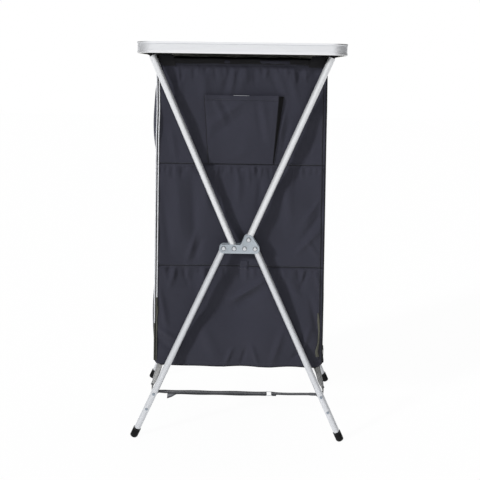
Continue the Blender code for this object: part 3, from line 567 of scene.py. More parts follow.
# %% Folds seen on the near face
# Each fold: where it starts and ends (x, z), its half width and its height, all in metres.
TOP_FOLDS = [
    ((-0.017, 1.107), (-0.034, 1.030), 0.009, 0.0026),
    ((-0.030, 1.100), (-0.052, 1.030), 0.010, -0.0020),
    ((0.011, 1.108), (-0.005, 1.036), 0.012, 0.0016),
    ((0.072, 1.109), (0.112, 1.030), 0.010, -0.0020),
    ((0.088, 1.109), (0.128, 1.010), 0.012, 0.0018),
    ((0.130, 1.110), (0.160, 1.000), 0.010, 0.0016),
    ((-0.109, 1.106), (-0.100, 1.000), 0.014, 0.0018),
    ((-0.167, 1.105), (-0.185, 0.980), 0.012, 0.0020),
    ((-0.225, 1.105), (-0.150, 0.960), 0.010, -0.0018),
    ((0.225, 1.105), (0.165, 0.930), 0.010, -0.0018),
    ((0.125, 0.990), (0.107, 0.900), 0.006, 0.0016),
    ((0.135, 0.960), (0.118, 0.870), 0.007, -0.0014),
    ((-0.200, 0.930), (-0.185, 0.840), 0.010, 0.0014),
    ((0.205, 0.960), (0.190, 0.845), 0.010, -0.0014),
]
MIDDLE_FOLDS = [
    ((-0.139, 0.822), (-0.126, 0.548), 0.014, -0.0024),
    ((-0.185, 0.822), (-0.170, 0.600), 0.020, 0.0028),
    ((-0.104, 0.822), (-0.094, 0.690), 0.012, 0.0020),
    ((-0.062, 0.822), (-0.052, 0.684), 0.008, -0.0016),
    ((-0.002, 0.822), (-0.006, 0.714), 0.010, 0.0018),
    ((0.061, 0.823), (0.052, 0.686), 0.009, -0.0016),
    ((0.130, 0.823), (0.146, 0.640), 0.016, 0.0020),
    ((0.238, 0.650), (0.165, 0.570), 0.008, 0.0024),
    ((0.240, 0.700), (0.180, 0.610), 0.009, -0.0022),
    ((0.238, 0.745), (0.182, 0.660), 0.008, 0.0016),
    ((0.232, 0.560), (0.190, 0.620), 0.007, 0.0016),
    ((-0.156, 0.536), (-0.122, 0.640), 0.007, 0.0020),
    ((-0.138, 0.536), (-0.106, 0.620), 0.007, -0.0016),
    ((-0.222, 0.725), (-0.202, 0.562), 0.010, -0.0016),
]
BOTTOM_FOLDS = [
    ((-0.025, 0.418), (0.078, 0.492), 0.008, 0.0036),
    ((-0.010, 0.400), (0.085, 0.465), 0.012, -0.0026),
    ((-0.041, 0.222), (-0.016, 0.280), 0.006, 0.0024),
    ((0.010, 0.226), (0.024, 0.280), 0.006, -0.0020),
    ((0.061, 0.226), (0.038, 0.292), 0.007, 0.0024),
    ((0.100, 0.226), (0.133, 0.338), 0.010, 0.0022),
    ((0.185, 0.270), (0.214, 0.350), 0.008, 0.0024),
    ((0.160, 0.240), (0.205, 0.300), 0.007, -0.0022),
    ((-0.236, 0.465), (-0.212, 0.335), 0.009, 0.0022),
    ((-0.245, 0.342), (-0.190, 0.305), 0.008, 0.0024),
    ((-0.240, 0.300), (-0.185, 0.255), 0.009, -0.0020),
    ((0.224, 0.525), (0.240, 0.460), 0.007, 0.0022),
    ((0.200, 0.525), (0.180, 0.460), 0.007, -0.0018),
    ((-0.100, 0.525), (-0.118, 0.415), 0.012, 0.0020),
    ((-0.190, 0.525), (-0.205, 0.460), 0.008, 0.0018),
    ((0.134, 0.524), (0.182, 0.425), 0.012, 0.0022),
    ((0.210, 0.440), (0.238, 0.320), 0.008, -0.0022),
    ((-0.110, 0.350), (-0.060, 0.240), 0.018, 0.0020),
]
PUCKER_SEED, FOLD_GAIN = 7, 2.4
print("folds set by hand:", len(TOP_FOLDS) + len(MIDDLE_FOLDS) + len(BOTTOM_FOLDS))

# %% Ridges, puckers and waves
WAVE_COUNT, WAVE_LENGTHS = 9, (0.07, 0.20)
FADE_ENDS, FADE_SOFTNESS = (0.04, 0.96), 0.7
PUCKER_DROP, PUCKER_LEAN, PUCKER_STEP = (0.018, 0.060), 0.25, (0.010, 0.026)
PUCKER_WIDTH, PUCKER_HEIGHT, PUCKER_START = (0.0035, 0.0070), (0.0008, 0.0020), 0.002
TOP_SEAM = BAG_TOP - 0.013


def ridge(x, z, start, end, width, height):
    """How far a fold lifts the cloth at each (x, z): a soft ridge that fades out at both ends."""
    run_x, run_z = end[0] - start[0], end[1] - start[1]
    share = ((x - start[0]) * run_x + (z - start[1]) * run_z) / (run_x**2 + run_z**2)
    share = np.clip(share, 0, 1)
    away = np.hypot(x - start[0] - share * run_x, z - start[1] - share * run_z)
    faded = np.sin(np.pi * np.clip(share, *FADE_ENDS)) ** FADE_SOFTNESS
    return height * np.exp(-((away / width) ** 2)) * faded


def puckers(seam, seed, half):
    """Short folds that fan out under a seam, where the thread gathers the cloth."""
    found = []
    random = np.random.default_rng(seed)
    x = -half
    while x < half:
        drop = random.uniform(*PUCKER_DROP)
        lean = random.uniform(-PUCKER_LEAN, PUCKER_LEAN) * drop
        height = random.choice((-1, 1)) * random.uniform(*PUCKER_HEIGHT)
        start, end = (x, seam - PUCKER_START), (x + lean, seam - drop)
        found.append((start, end, random.uniform(*PUCKER_WIDTH), height))
        x += random.uniform(*PUCKER_STEP)
    return found


def waves(x, z, seed, height):
    """A slow unevenness of the whole panel: a few long waves that cross each other."""
    random = np.random.default_rng(seed)
    total = np.zeros_like(x)
    for _ in range(WAVE_COUNT):
        turn = random.uniform(0, math.pi)
        length = random.uniform(*WAVE_LENGTHS)
        phase = random.uniform(0, math.tau)
        total += np.sin((x * math.cos(turn) + z * math.sin(turn)) * math.tau / length + phase)
    return total * height / math.sqrt(WAVE_COUNT)


NEAR_FOLDS = [*TOP_FOLDS, *MIDDLE_FOLDS, *BOTTOM_FOLDS]
for number, seam in enumerate((TOP_SEAM, UPPER_SEAM, LOWER_SEAM)):
    NEAR_FOLDS += puckers(seam, PUCKER_SEED + number, bag_half(seam))
print("folds on the near face:", len(NEAR_FOLDS))

# %% How far the faces hang out
# Millimetres out of the plane at each height, on three lines down the near face, and how wide a line reaches.
HEIGHTS = (
    0.220, 0.250, 0.275, 0.306, 0.340, 0.374, 0.408, 0.442, 0.490, 0.5285, 0.560, 0.620, 0.700, 0.831, 1.124
)
LINES = {
    -0.190: (0, 4, 5, 5, 3, 0, -3, -4, -4, -3, -2, -1, 0, 0, -1),
    -0.050: (0, 3, 4, 4, -1, -8, -13, -14, -14, -10, -7, -3, -1, 0, -1),
    0.150: (0, 4, 6, 7, 8, 6, 5, 3, -1, -3, -2, -1, 0, 0, -1),
}
LINE_REACH, LINE_SMOOTHING, LINE_MARGIN, FINE_STEPS = 0.090, 0.016, 0.1, 2200
KERNEL_HALF, KERNEL_STEPS, LEAST_WEIGHT = 0.05, 200, 1e-4
# At a seam the cloth is drawn in and its folds end; from a side edge it takes a little way to hang free.
GROOVE_DEPTH, GROOVE_WIDTH, HELD_WIDTH, SEWN_WIDTH, EDGE_WIDTH = 0.0020, 0.0024, 0.005, 0.016, 0.05
FACE_WAVES, SEWN_SOFTNESS = 0.0011, 0.6
HELD_HEIGHTS = (*SEAMS, BAG_TOP - 0.014)


def eased(heights, values):
    """A curve through measured values, smoothed so that it has no corners."""
    fine = np.linspace(heights[0] - LINE_MARGIN, heights[-1] + LINE_MARGIN, FINE_STEPS)
    kernel = np.exp(-((np.linspace(-KERNEL_HALF, KERNEL_HALF, KERNEL_STEPS) / LINE_SMOOTHING) ** 2))
    line = np.convolve(np.interp(fine, heights, values), kernel / kernel.sum(), mode="same")
    return fine, line / 1000


CURVES = {x: eased(HEIGHTS, values) for x, values in LINES.items()}


def belly(x, z):
    """How far a face hangs out of its plane between the shelves: a blend of the measured lines."""
    total, weights = 0, 1e-9
    for centre, (heights, out) in CURVES.items():
        weight = np.exp(-(((x - centre) / LINE_REACH) ** 2)) + LEAST_WEIGHT
        total, weights = total + weight * np.interp(z, heights, out), weights + weight
    return total / weights


def face_out(x, z, folds, seed):
    """How far a face stands out of its plane, with every fold, and drawn in along the seams."""
    out = waves(x, z, seed, FACE_WAVES)
    for fold in folds:
        out = out + ridge(x, z, *fold)
    held = np.ones_like(z)
    for seam in HELD_HEIGHTS:
        held *= 1 - np.exp(-(((z - seam) / HELD_WIDTH) ** 2))
    from_edge = face_half(z) - np.abs(x)
    sewn = np.clip(from_edge / SEWN_WIDTH, 0, 1) ** SEWN_SOFTNESS
    hanging = np.sin(np.clip(from_edge / EDGE_WIDTH, 0, 1) * math.pi / 2)
    groove = sum(-GROOVE_DEPTH * np.exp(-(((z - seam) / GROOVE_WIDTH) ** 2)) for seam in SEAMS)
    return belly(x, z) * hanging + FOLD_GAIN * out * held * sewn + groove


def near_surface(x, z):
    """The near face's y at a place."""
    x, z = np.asarray(x, float), np.asarray(z, float)
    return -BAG_Y - face_out(x, z, NEAR_FOLDS, PUCKER_SEED)


print("the near face's middle stands at y", round(float(near_surface(0, 0.7)), 4))

# %% [markdown]
# ## Near and far faces
#
# Each face is one piece of cloth, so each is one sheet. Its rows are crowded round the seams, where the cloth
# turns sharply. When the frames fold, the real bag crumples towards the right-hand frame.

# %% Faces of the bag
FACE_HEIGHT = BAG_TOP - BAG_BOTTOM
FACE_CUT = (2 * bag_half(BAG_BOTTOM), FACE_HEIGHT)
HEM_WAVE, HEM_RIPPLES, HEM_PHASE, HEM_FADE = 0.0009, 48, 0.6, 40
CROWD_STEPS, CROWD_WIDTH, CROWD_SHARE = 3000, 0.006, 7.0
FAR_SEED, SHARP_FOLD = 31, 0.0075
FAR_FOLDS = [
    ((-start[0], start[1]), (-end[0], end[1]), width, height)
    for start, end, width, height in NEAR_FOLDS if width < SHARP_FOLD
]


def with_bag(piece):
    """A bag piece gets a mesh of its own."""
    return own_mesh(piece)


def far_surface(x, z):
    """The far face's y at a place: the near face's sharper folds, mirrored."""
    return BAG_Y + face_out(x, z, FAR_FOLDS, FAR_SEED)


def near_place(across, along):
    z = BAG_BOTTOM + along * FACE_HEIGHT
    x = (2 * across - 1) * face_half(z)
    hem = HEM_WAVE * np.sin(x * HEM_RIPPLES + HEM_PHASE) * np.exp(-along * HEM_FADE)
    return x, near_surface(x, z), z + hem


def far_place(across, along):
    z = BAG_BOTTOM + along * FACE_HEIGHT
    x = (1 - 2 * across) * face_half(z)
    return x, far_surface(x, z), z


crowd_heights = np.linspace(BAG_BOTTOM, BAG_TOP, CROWD_STEPS)
near_seams = sum(np.exp(-(((crowd_heights - seam) / CROWD_WIDTH) ** 2)) for seam in SEAMS)
density = 1 + CROWD_SHARE * near_seams
crowd_run = np.concatenate([[0], np.cumsum((density[1:] + density[:-1]) / 2)])
crowd_run /= crowd_run[-1]


def crowded(along):
    """Rows moved closer together round the shelves' seams."""
    return np.interp(along, crowd_run, np.linspace(0, 1, CROWD_STEPS))


for name, place, columns, rows, node in (
    ("near_face", near_place, 130, 270, "near_panel"),
    ("far_face", far_place, 90, 190, "far_panel"),
):
    face = bent_sheet(name, columns, rows, place, FACE_CUT, bag_cloth, backing=inner_coating, crowd=crowded)
    with_bag(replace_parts(face, node))
    print(name, "polygons:", len(face.data.polygons))

# %% [markdown]
# ## Tubes, feet and rivets
#
# The frame is drawn aluminium tube, cut straight. Tubes, rubber feet and rivets are all turned shapes, so one
# helper spins a few points in profile round a line. A tube made this way has a real wall and open ends, which
# a cylinder would not have. Each tube's line is worked out from the box of its CAD node.

# %% Turned pieces
TUBE_RADIUS, TUBE_WALL = 0.0095, 0.0012


def turned(name, profile, foot, direction, finish, body, steps=48, level=None):
    """Points (radius, distance) spun round a line from a foot; level cuts the shape flat at a height."""
    bm = bmesh.new()
    verts = [bm.verts.new((radius, 0, along)) for radius, along in profile]
    for pair in zip(verts, verts[1:]):
        bm.edges.new(pair)
    whole = bm.verts[:] + bm.edges[:]
    bmesh.ops.spin(bm, geom=whole, axis=(0, 0, 1), angle=math.tau, steps=steps, use_merge=True)
    bmesh.ops.remove_doubles(bm, verts=bm.verts, dist=1e-7)
    lay = Matrix.Translation(foot) @ Vector(direction).to_track_quat("Z", "Y").to_matrix().to_4x4()
    bmesh.ops.transform(bm, matrix=lay, verts=bm.verts)
    if level is not None:
        whole = bm.verts[:] + bm.edges[:] + bm.faces[:]
        found = bmesh.ops.bisect_plane(
            bm, geom=whole, plane_co=(0, 0, level), plane_no=(0, 0, -1), clear_outer=True
        )
        rim = [part for part in found["geom_cut"] if isinstance(part, bmesh.types.BMEdge)]
        bmesh.ops.contextual_create(bm, geom=rim)
    bmesh.ops.recalc_face_normals(bm, faces=bm.faces)
    return as_object(name, bm, finish, body)


def tube_line(node):
    """A half tube's ends on its centre line, the lower one first, worked out from the tube's box."""
    low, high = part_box(node)
    width, height = high.x - low.x, high.z - low.z
    lean = math.atan2(width, height)
    for _ in range(30):  # the box holds the tube's thickness too, which depends on the lean
        lean = math.atan2(width - 2 * TUBE_RADIUS * math.cos(lean), height - 2 * TUBE_RADIUS * math.sin(lean))
    aside, rise = TUBE_RADIUS * math.cos(lean), TUBE_RADIUS * math.sin(lean)
    left, right = low.x + aside, high.x - aside
    if node.startswith("lower") == node.endswith("right"):
        left, right = right, left
    y = (low.y + high.y) / 2
    return Vector((left, y, low.z + rise)), Vector((right, y, high.z - rise))


def tube_profile(radius, length, soft=0.0004):
    """A tube's wall in section, its cut ends slightly rounded."""
    inner = radius - TUBE_WALL
    outer = [(radius - soft, 0), (radius, soft), (radius, length - soft), (radius - soft, length)]
    return [(inner, 0), *outer, (inner, length), (inner, 0)]


print("a tube's wall in section:", len(tube_profile(TUBE_RADIUS, 1.0)), "points")

# %% Half tubes and top rails
LEGS = {}
for where in ("near", "far"):
    for part in ("upper", "lower"):
        for hand in ("left", "right"):
            node = f"{part}_tube_{where}_{hand}"
            foot, top = tube_line(node)
            profile = tube_profile(TUBE_RADIUS, (top - foot).length)
            # The lower tubes take the darker copy: painted shade.
            finish = tube_silver if part == "upper" else leg_silver_painted_shade
            tube = turned(f"{part}_{hand}_{where}", profile, foot, top - foot, finish, BODY[node])
            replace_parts(tube, node)
            if part == "lower":
                LEGS[where, hand] = (foot, (top - foot).normalized())
for hand in ("left", "right"):
    node = f"{hand}_top_rail"
    low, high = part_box(node)
    start = Vector(((low.x + high.x) / 2, low.y, (low.z + high.z) / 2))
    profile = tube_profile(RAIL_RADIUS, high.y - low.y)
    rail = turned(f"{hand}_rail", profile, start, (0, 1, 0), tube_silver, BODY[node])
    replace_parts(rail, node)
print("leg lean:", round(math.degrees(math.acos(LEGS["near", "left"][1].z)), 2), "degrees")

# %% Rubber feet
CAP_RADIUS, CAP_LENGTH, CAP_NOSE = 0.0115, 0.030, 0.003
CAP_BORE, CAP_FLOOR, CAP_CHAMFER, NOSE_STEPS = TUBE_RADIUS + 0.0002, 0.006, 0.0003, 6
# The sleeve's outer side, with a groove near its top: what is added to the radius, and how far below the top.
CAP_SLEEVE = [(0, 0.0064), (-0.0003, 0.0060), (-0.0003, 0.0050), (0, 0.0046), (0, 0.0008), (-0.0008, 0)]

for (where, hand), (foot, up) in LEGS.items():
    node = f"foot_cap_{where}_{hand}"
    top = (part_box(node)[1].z - CAP_RADIUS * math.sqrt(1 - up.z**2) - foot.z) / up.z
    low = top - CAP_LENGTH
    nose = [
        (CAP_RADIUS - CAP_NOSE * (1 - math.sin(a)), low + CAP_NOSE * (1 - math.cos(a)))
        for a in np.linspace(0, math.pi / 2, NOSE_STEPS)
    ]
    sleeve = [(CAP_RADIUS + more, top - below) for more, below in CAP_SLEEVE]
    bore = [(CAP_BORE, top - CAP_CHAMFER), (CAP_BORE, low + CAP_FLOOR)]
    profile = [(0, low), *nose, *sleeve, *bore]
    cap = turned(f"foot_{hand}_{where}", profile, foot, up, black_plastic, BODY[node], level=0.0)
    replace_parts(cap, node)
print("feet:", len(LEGS))

# %% Rivets
HEAD_STEPS, DOME_WIDTH, DOME_HEIGHT, RIM_START = 7, 0.93, 0.82, 0.86
PLATE_RIVET_RISE, STRAP_RIVET_RISE, SHANK_SHARE = 0.0025, 0.0018, 0.52
LOW_RIVET_Z, LOW_RIVET_HEAD, LOW_RIVET_SHANK, LOW_RIVET_RISE = 0.092, 0.0042, 0.0022, 0.0016


def rivet_profile(head, shank, rise, length):
    """Two domed heads, each with a narrow flat rim, on a straight shank."""
    dome = [
        (head * DOME_WIDTH * math.sin(a), rise * DOME_HEIGHT * (1 - math.cos(a)))
        for a in np.linspace(0, math.pi / 2, HEAD_STEPS)
    ]
    half = [*dome, (head, rise * RIM_START), (head, rise), (shank, rise)]
    return [*half, *[(radius, length - along) for radius, along in reversed(half)]]


rivet_nodes = [node for node in sorted(nodes) if "rivet" in node]
for node in rivet_nodes:
    on_strap = node.startswith("strap")
    low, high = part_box(node)
    head = (high.x - low.x) / 2
    rise, finish = (STRAP_RIVET_RISE, leg_rivet) if on_strap else (PLATE_RIVET_RISE, rivet_steel)
    foot = Vector(((low.x + high.x) / 2, low.y, (low.z + high.z) / 2))
    profile = rivet_profile(head, head * SHANK_SHARE, rise, high.y - low.y)
    piece = turned(f"{node}_head", profile, foot, (0, 1, 0), finish, BODY[node], steps=28)
    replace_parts(piece, node)
for (where, hand), (foot, up) in LEGS.items():
    reach = TUBE_RADIUS + LOW_RIVET_RISE
    at = foot + up * ((LOW_RIVET_Z - foot.z) / up.z) - Vector((0, reach, 0))
    profile = rivet_profile(LOW_RIVET_HEAD, LOW_RIVET_SHANK, LOW_RIVET_RISE, 2 * reach)
    body = BODY[f"foot_cap_{where}_{hand}"]
    piece = turned(f"low_rivet_{hand}_{where}", profile, at, (0, 1, 0), leg_rivet, body, steps=24)
print("rivets:", len(rivet_nodes) + len(LEGS))

# %% Rivet rings of painted shade
# A thin dark ring on the plate round each of its rivets is painted shade: the dark gap round the rivet's
# head.
PLATE_FACE_Y, SHADE_RING_HEIGHT = 0.2133, 0.00035
SHADE_RING_IN, SHADE_RING_OUT, SHADE_RING_BEVEL = -0.0004, 0.0013, 0.0002

for node in rivet_nodes:
    if node.startswith("strap"):
        continue
    low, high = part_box(node)
    head, side = (high.x - low.x) / 2, -1 if high.y < 0 else 1
    inner, outer = head + SHADE_RING_IN, head + SHADE_RING_OUT
    upper = [(outer - SHADE_RING_BEVEL, SHADE_RING_HEIGHT), (inner, SHADE_RING_HEIGHT)]
    profile = [(inner, 0), (outer, 0), *upper, (inner, 0)]
    foot = Vector(((low.x + high.x) / 2, side * PLATE_FACE_Y, (low.z + high.z) / 2))
    rivet_shade_ring = turned(f"{node}_washer", profile, foot, (0, side, 0), ring_shadow, BODY[node], steps=28)

# %% [markdown]
# ## Folding plates
#
# A pair of pressed plates holds the four half tubes. Each has a bar over the row of four rivets and a lobe
# over the fifth, and a raised line round its edge from the press. The outline is a chain of arcs that touch
# each other, worked out from the rivets' places. One face is extruded, bevelled and inset, as the press does.

# %% Folding plates
PIVOT_PITCH, PIVOT_Z = 0.030, 0.5925
PLATE_TOP, PLATE_BOTTOM, LOBE_RADIUS, SHOULDER_RADIUS = 0.0112, 0.0145, 0.0140, 0.0080
PLATE_BEVEL, PRESSED_EDGE, PRESSED_SLOPE, PRESSED_DEPTH = 0.0004, 0.0017, 0.0006, 0.0005
LOCK = centre_of(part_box("rivet_near_lock"))


def arc(centre, radius, start, end, steps):
    """Points of an arc, its angles in degrees."""
    angles = [math.radians(start + (end - start) * i / steps) for i in range(steps + 1)]
    return [(centre[0] + radius * math.cos(a), centre[1] + radius * math.sin(a)) for a in angles]


def plate_outline():
    """The outline round the rivets, from the middle of the bar's left end, counted from the pivots' row."""
    end_radius, middle = (PLATE_TOP + PLATE_BOTTOM) / 2, (PLATE_TOP - PLATE_BOTTOM) / 2
    end = 1.5 * PIVOT_PITCH
    lobe = (LOCK.x, LOCK.z - PIVOT_Z)
    lean = math.atan2(lobe[0] - PIVOT_PITCH / 2, lobe[1])
    run_x, run_z = end - lobe[0], middle - lobe[1]
    tangent = math.atan2(run_z, run_x) + math.acos((LOBE_RADIUS - end_radius) / math.hypot(run_x, run_z))
    rise = PLATE_TOP + SHOULDER_RADIUS
    aside = (LOBE_RADIUS + SHOULDER_RADIUS - rise * math.sin(lean)) / math.cos(lean)
    lean, tangent = math.degrees(lean), math.degrees(tangent)
    return [
        *arc((-end, middle), end_radius, 270, 90, 28),
        *arc((PIVOT_PITCH / 2 - aside, rise), SHOULDER_RADIUS, -90, -lean, 10),
        *arc(lobe, LOBE_RADIUS, 180 - lean, tangent, 26),
        *arc((end, middle), end_radius, tangent, -90, 22),
    ]


def pressed_plate(node):
    """A plate from its outline: given its thickness, then an inset on the face that is seen, pressed in."""
    low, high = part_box(node)
    out = -1 if (high.y < FRAME_Y and low.y < -FRAME_Y) or (0 < high.y < FRAME_Y) else 1
    seen, hidden = (low.y, high.y) if out < 0 else (high.y, low.y)
    bm = bmesh.new()
    face = bm.faces.new([bm.verts.new((x, seen, PIVOT_Z + z)) for x, z in plate_outline()])
    back = bmesh.ops.extrude_face_region(bm, geom=[face])["geom"]
    moved = [part for part in back if isinstance(part, bmesh.types.BMVert)]
    bmesh.ops.translate(bm, vec=(0, hidden - seen, 0), verts=moved)
    bmesh.ops.recalc_face_normals(bm, faces=bm.faces)
    bmesh.ops.bevel(
        bm, geom=face.edges[:], offset=PLATE_BEVEL, segments=2, profile=0.5, affect="EDGES", material=-1
    )
    face = max((f for f in bm.faces if f.normal.y * out > 0.99), key=lambda f: f.calc_area())
    for width, depth in ((PRESSED_EDGE, 0.0), (PRESSED_SLOPE, -PRESSED_DEPTH)):
        bmesh.ops.inset_region(bm, faces=[face], thickness=width, depth=depth, use_even_offset=True)
    plate = as_object(f"{node}_pressed", bm, zinc_plate, BODY[node])
    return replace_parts(plate, node)


for where in ("near", "far"):
    for face in ("outer", "inner"):
        pressed_plate(f"fold_plate_{where}_{face}")
print("plate outline:", len(plate_outline()), "points")

# %% [markdown]
# ## Tabletop
#
# The board drops into an extruded aluminium frame: a proud bead above and below and a finely ribbed band
# between them. The extrusion's section is drawn once. It is extruded along each side and spun round each
# corner, which keeps the ribs sharp all the way round, where a bevelled box would lose them.

# %% The extrusion's section
RIM_LOW, RIM_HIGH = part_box("edge_frame")[0].z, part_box("edge_frame")[1].z
BEAD, PROUD, RIM_WALL, LIP = 0.0055, 0.0008, 0.0022, 0.0015
TOP_LIP, BOARD_LIP, LOWER_LIP, LIP_ROUND, BOARD_GAP = 0.0095, 0.0120, 0.0090, 0.0004, 0.0003
# One rib and one groove, as shares of their pitch, and how deep the groove is.
RIB_COUNT, RIB_DEPTH, RIB_SHARES, GROOVE_SHARES = 6, 0.0011, (0.12, 0.62), (0.74, 1.0)


def bead_points(low, high):
    """A bead's rounded outer side between two heights."""
    middle, half = (low + high) / 2, (high - low) / 2
    turns = np.linspace(-math.pi / 2, math.pi / 2, 9)
    return [(PROUD * (1 - math.cos(a) ** 0.5), middle + half * math.sin(a)) for a in turns]


def rim_section():
    """(distance inside the outline, height above the lower edge) round the extrusion, clockwise."""
    height = RIM_HIGH - RIM_LOW
    ribs = []
    step = (height - 2 * BEAD) / RIB_COUNT
    for i in range(RIB_COUNT):
        base = BEAD + step * i
        ribs += [(PROUD, base + share * step) for share in RIB_SHARES]
        ribs += [(PROUD + RIB_DEPTH, base + share * step) for share in GROOVE_SHARES]
    board_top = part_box("tabletop_board")[0].z - BOARD_GAP - RIM_LOW
    wall = PROUD + RIM_WALL
    inside = [
        (TOP_LIP - LIP_ROUND, height), (TOP_LIP, height - LIP_ROUND), (TOP_LIP, height - LIP),
        (wall, height - LIP), (wall, board_top), (BOARD_LIP, board_top), (BOARD_LIP, board_top - LIP),
        (wall, board_top - LIP), (wall, LIP), (LOWER_LIP, LIP), (LOWER_LIP, 0),
    ]
    return [*bead_points(0, BEAD), *ribs[:-1], *bead_points(height - BEAD, height), *inside]


print("points in the section:", len(rim_section()))

# %% Edge frame
TABLE_WIDTH, TABLE_DEPTH, TABLE_CORNER, CORNER_STEPS = 0.580, 0.480, 0.050, 16
# A face belongs to the inside, whose duller olive finish is painted shade, where it lies behind the wall and
# under the top, with a little to spare.
WALL_SPARE, TOP_SPARE = 0.0004, 0.0008
# The four straight sides: the way each runs, and the corner that follows it.
RIM_SIDES = [((0, 1, 0), (1, 1)), ((-1, 0, 0), (-1, 1)), ((0, -1, 0), (-1, -1)), ((1, 0, 0), (1, -1))]


def edge_frame():
    """The section drawn along the four sides and spun round the four corners."""
    bm = bmesh.new()
    half_x, half_y = TABLE_WIDTH / 2, TABLE_DEPTH / 2
    start = -half_y + TABLE_CORNER
    section = [bm.verts.new((half_x - inside, start, RIM_LOW + up)) for inside, up in rim_section()]
    line = [bm.edges.new(pair) for pair in zip(section, section[1:] + section[:1])]
    for way, (sx, sy) in RIM_SIDES:
        length = TABLE_WIDTH if way[0] else TABLE_DEPTH
        drawn = bmesh.ops.extrude_edge_only(bm, edges=line)["geom"]
        moved = [part for part in drawn if isinstance(part, bmesh.types.BMVert)]
        bmesh.ops.translate(bm, vec=Vector(way) * (length - 2 * TABLE_CORNER), verts=moved)
        line = [part for part in drawn if isinstance(part, bmesh.types.BMEdge)]
        centre = (sx * (half_x - TABLE_CORNER), sy * (half_y - TABLE_CORNER), 0)
        found = bmesh.ops.spin(
            bm, geom=moved + line, cent=centre, axis=(0, 0, 1), angle=math.pi / 2, steps=CORNER_STEPS,
            use_duplicate=False,
        )["geom_last"]
        line = [part for part in found if isinstance(part, bmesh.types.BMEdge)]
    bmesh.ops.remove_doubles(bm, verts=bm.verts, dist=1e-6)
    bmesh.ops.recalc_face_normals(bm, faces=bm.faces)
    for face in bm.faces:
        x, y, z = face.calc_center_median()
        into_x, into_y = half_x - abs(x), half_y - abs(y)
        inside = min(into_x, into_y)
        if max(into_x, into_y) < TABLE_CORNER:
            inside = TABLE_CORNER - math.hypot(TABLE_CORNER - into_x, TABLE_CORNER - into_y)
        behind_wall = inside > PROUD + RIM_WALL - WALL_SPARE
        face.material_index = int(behind_wall and z < RIM_HIGH - TOP_SPARE)
    piece = as_object("edge_extrusion", bm, edge_aluminium, "tabletop")
    piece.data.materials.append(rim_inside_painted_shade)
    return piece


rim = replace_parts(edge_frame(), "edge_frame")
print("edge frame faces:", len(rim.data.polygons), [round(v, 3) for v in rim.dimensions])

# %% [markdown]
# ## Board and fittings
#
# The board and the four moulded fittings on the rails are plain shapes, and the CAD model has them already.
# They are not made again: each only gets its finish.

# %% Board and fittings
kept = {node: black_plastic for node in nodes if node.startswith("rail_fitting")}
kept["tabletop_board"] = board_laminate
for node, finish in kept.items():
    nodes[node].data.materials.clear()
    nodes[node].data.materials.append(finish)
print("CAD pieces with a new finish:", sorted(kept))

# %% [markdown]
# ## Sides of the bag
#
# Each side runs from the hem up to its top rail, over it and back under, which makes the sleeve. The left
# side is closed. The right side stops at a header band, and the door below it rolls up to the header with its
# hem. A side could be a box's wall joined to half a tube. It is one sheet that follows a line of points
# instead, so its UVs keep the cloth's real length round the rail.

# %% Side cloth
SIDE_GAP, SLEEVE_GAP, SLEEVE_SHORT = 0.0003, 0.0014, 0.002
SLEEVE_RADIUS = RAIL_RADIUS + SIDE_GAP + SLEEVE_GAP
SLEEVE_HALF = -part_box("rail_fitting_near_left")[1].y - SLEEVE_SHORT
LINE_STEPS, SLEEVE_STEPS, SLEEVE_TURN = 60, 28, 265
SHIFT, SHIFT_Z, SHIFT_REACH = 0.0016, 0.985, 0.055
SIDE_WAVES, FREE_BELOW, HELD_POWER, SHIFT_POWER = 0.0012, 0.05, 5, 6
LEFT_SEED, HEADER_SEED, PUCKER_MARGIN = 41, 43, 0.02


def compartments(low, high, bulges):
    """For each compartment: its lower and its upper end, and how far a side bulges out between them."""
    stops = (low, LOWER_SEAM, UPPER_SEAM, high)
    return list(zip(stops, stops[1:], bulges))


def bulging(z, bands):
    """How far a side bulges out at a height."""
    out = np.zeros_like(z)
    for low, high, bulge in bands:
        inside = (z > low) & (z < high)
        out += np.where(inside, bulge * np.sin(math.pi * (z - low) / (high - low)), 0)
    return out


def edge_shift(z):
    """How far the left corner is drawn in where the side bellies out beside the top compartment."""
    return SHIFT * np.exp(-(((z - SHIFT_Z) / SHIFT_REACH) ** 2))


def side_line(low):
    """Distance along the cloth, x from the bag's middle, height and half width, from low over the sleeve."""
    heights = np.linspace(low, HEADER_BOTTOM, LINE_STEPS)
    turns = np.radians(np.linspace(0, SLEEVE_TURN, SLEEVE_STEPS))
    x = np.concatenate([face_half(heights) + SIDE_GAP, RAIL_X - SLEEVE_RADIUS * np.cos(turns)])
    z = np.concatenate([heights, RAIL_Z + SLEEVE_RADIUS * np.sin(turns)])
    half = np.concatenate([np.full(LINE_STEPS, BAG_Y), np.full(SLEEVE_STEPS, SLEEVE_HALF)])
    run = np.concatenate([[0], np.cumsum(np.hypot(np.diff(x), np.diff(z)))])
    return run, x, z, half


def side_place(side, low, bands, seed):
    """The bend of a side's sheet, and its flat size."""
    run, xs, zs, halves = side_line(low)
    folds = [fold for band in bands for fold in puckers(band[1], seed, BAG_Y - PUCKER_MARGIN)]

    def place(across, along):
        reach = along * run[-1]
        x, z, half = (np.interp(reach, run, line) for line in (xs, zs, halves))
        share = 2 * across - 1
        y = side * share * half
        held = 1 - np.abs(share) ** HELD_POWER
        below = np.clip((HEADER_BOTTOM - z) / FREE_BELOW, 0, 1)
        rough = waves(y, z, seed, SIDE_WAVES) + sum(ridge(y, z, *fold) for fold in folds)
        x = x + bulging(z, bands) * held + rough * held * below
        if side < 0:
            x = x - edge_shift(z) * np.clip(share, 0, 1) ** SHIFT_POWER * below
        return side * x, y, z

    return place, (2 * BAG_Y, run[-1])


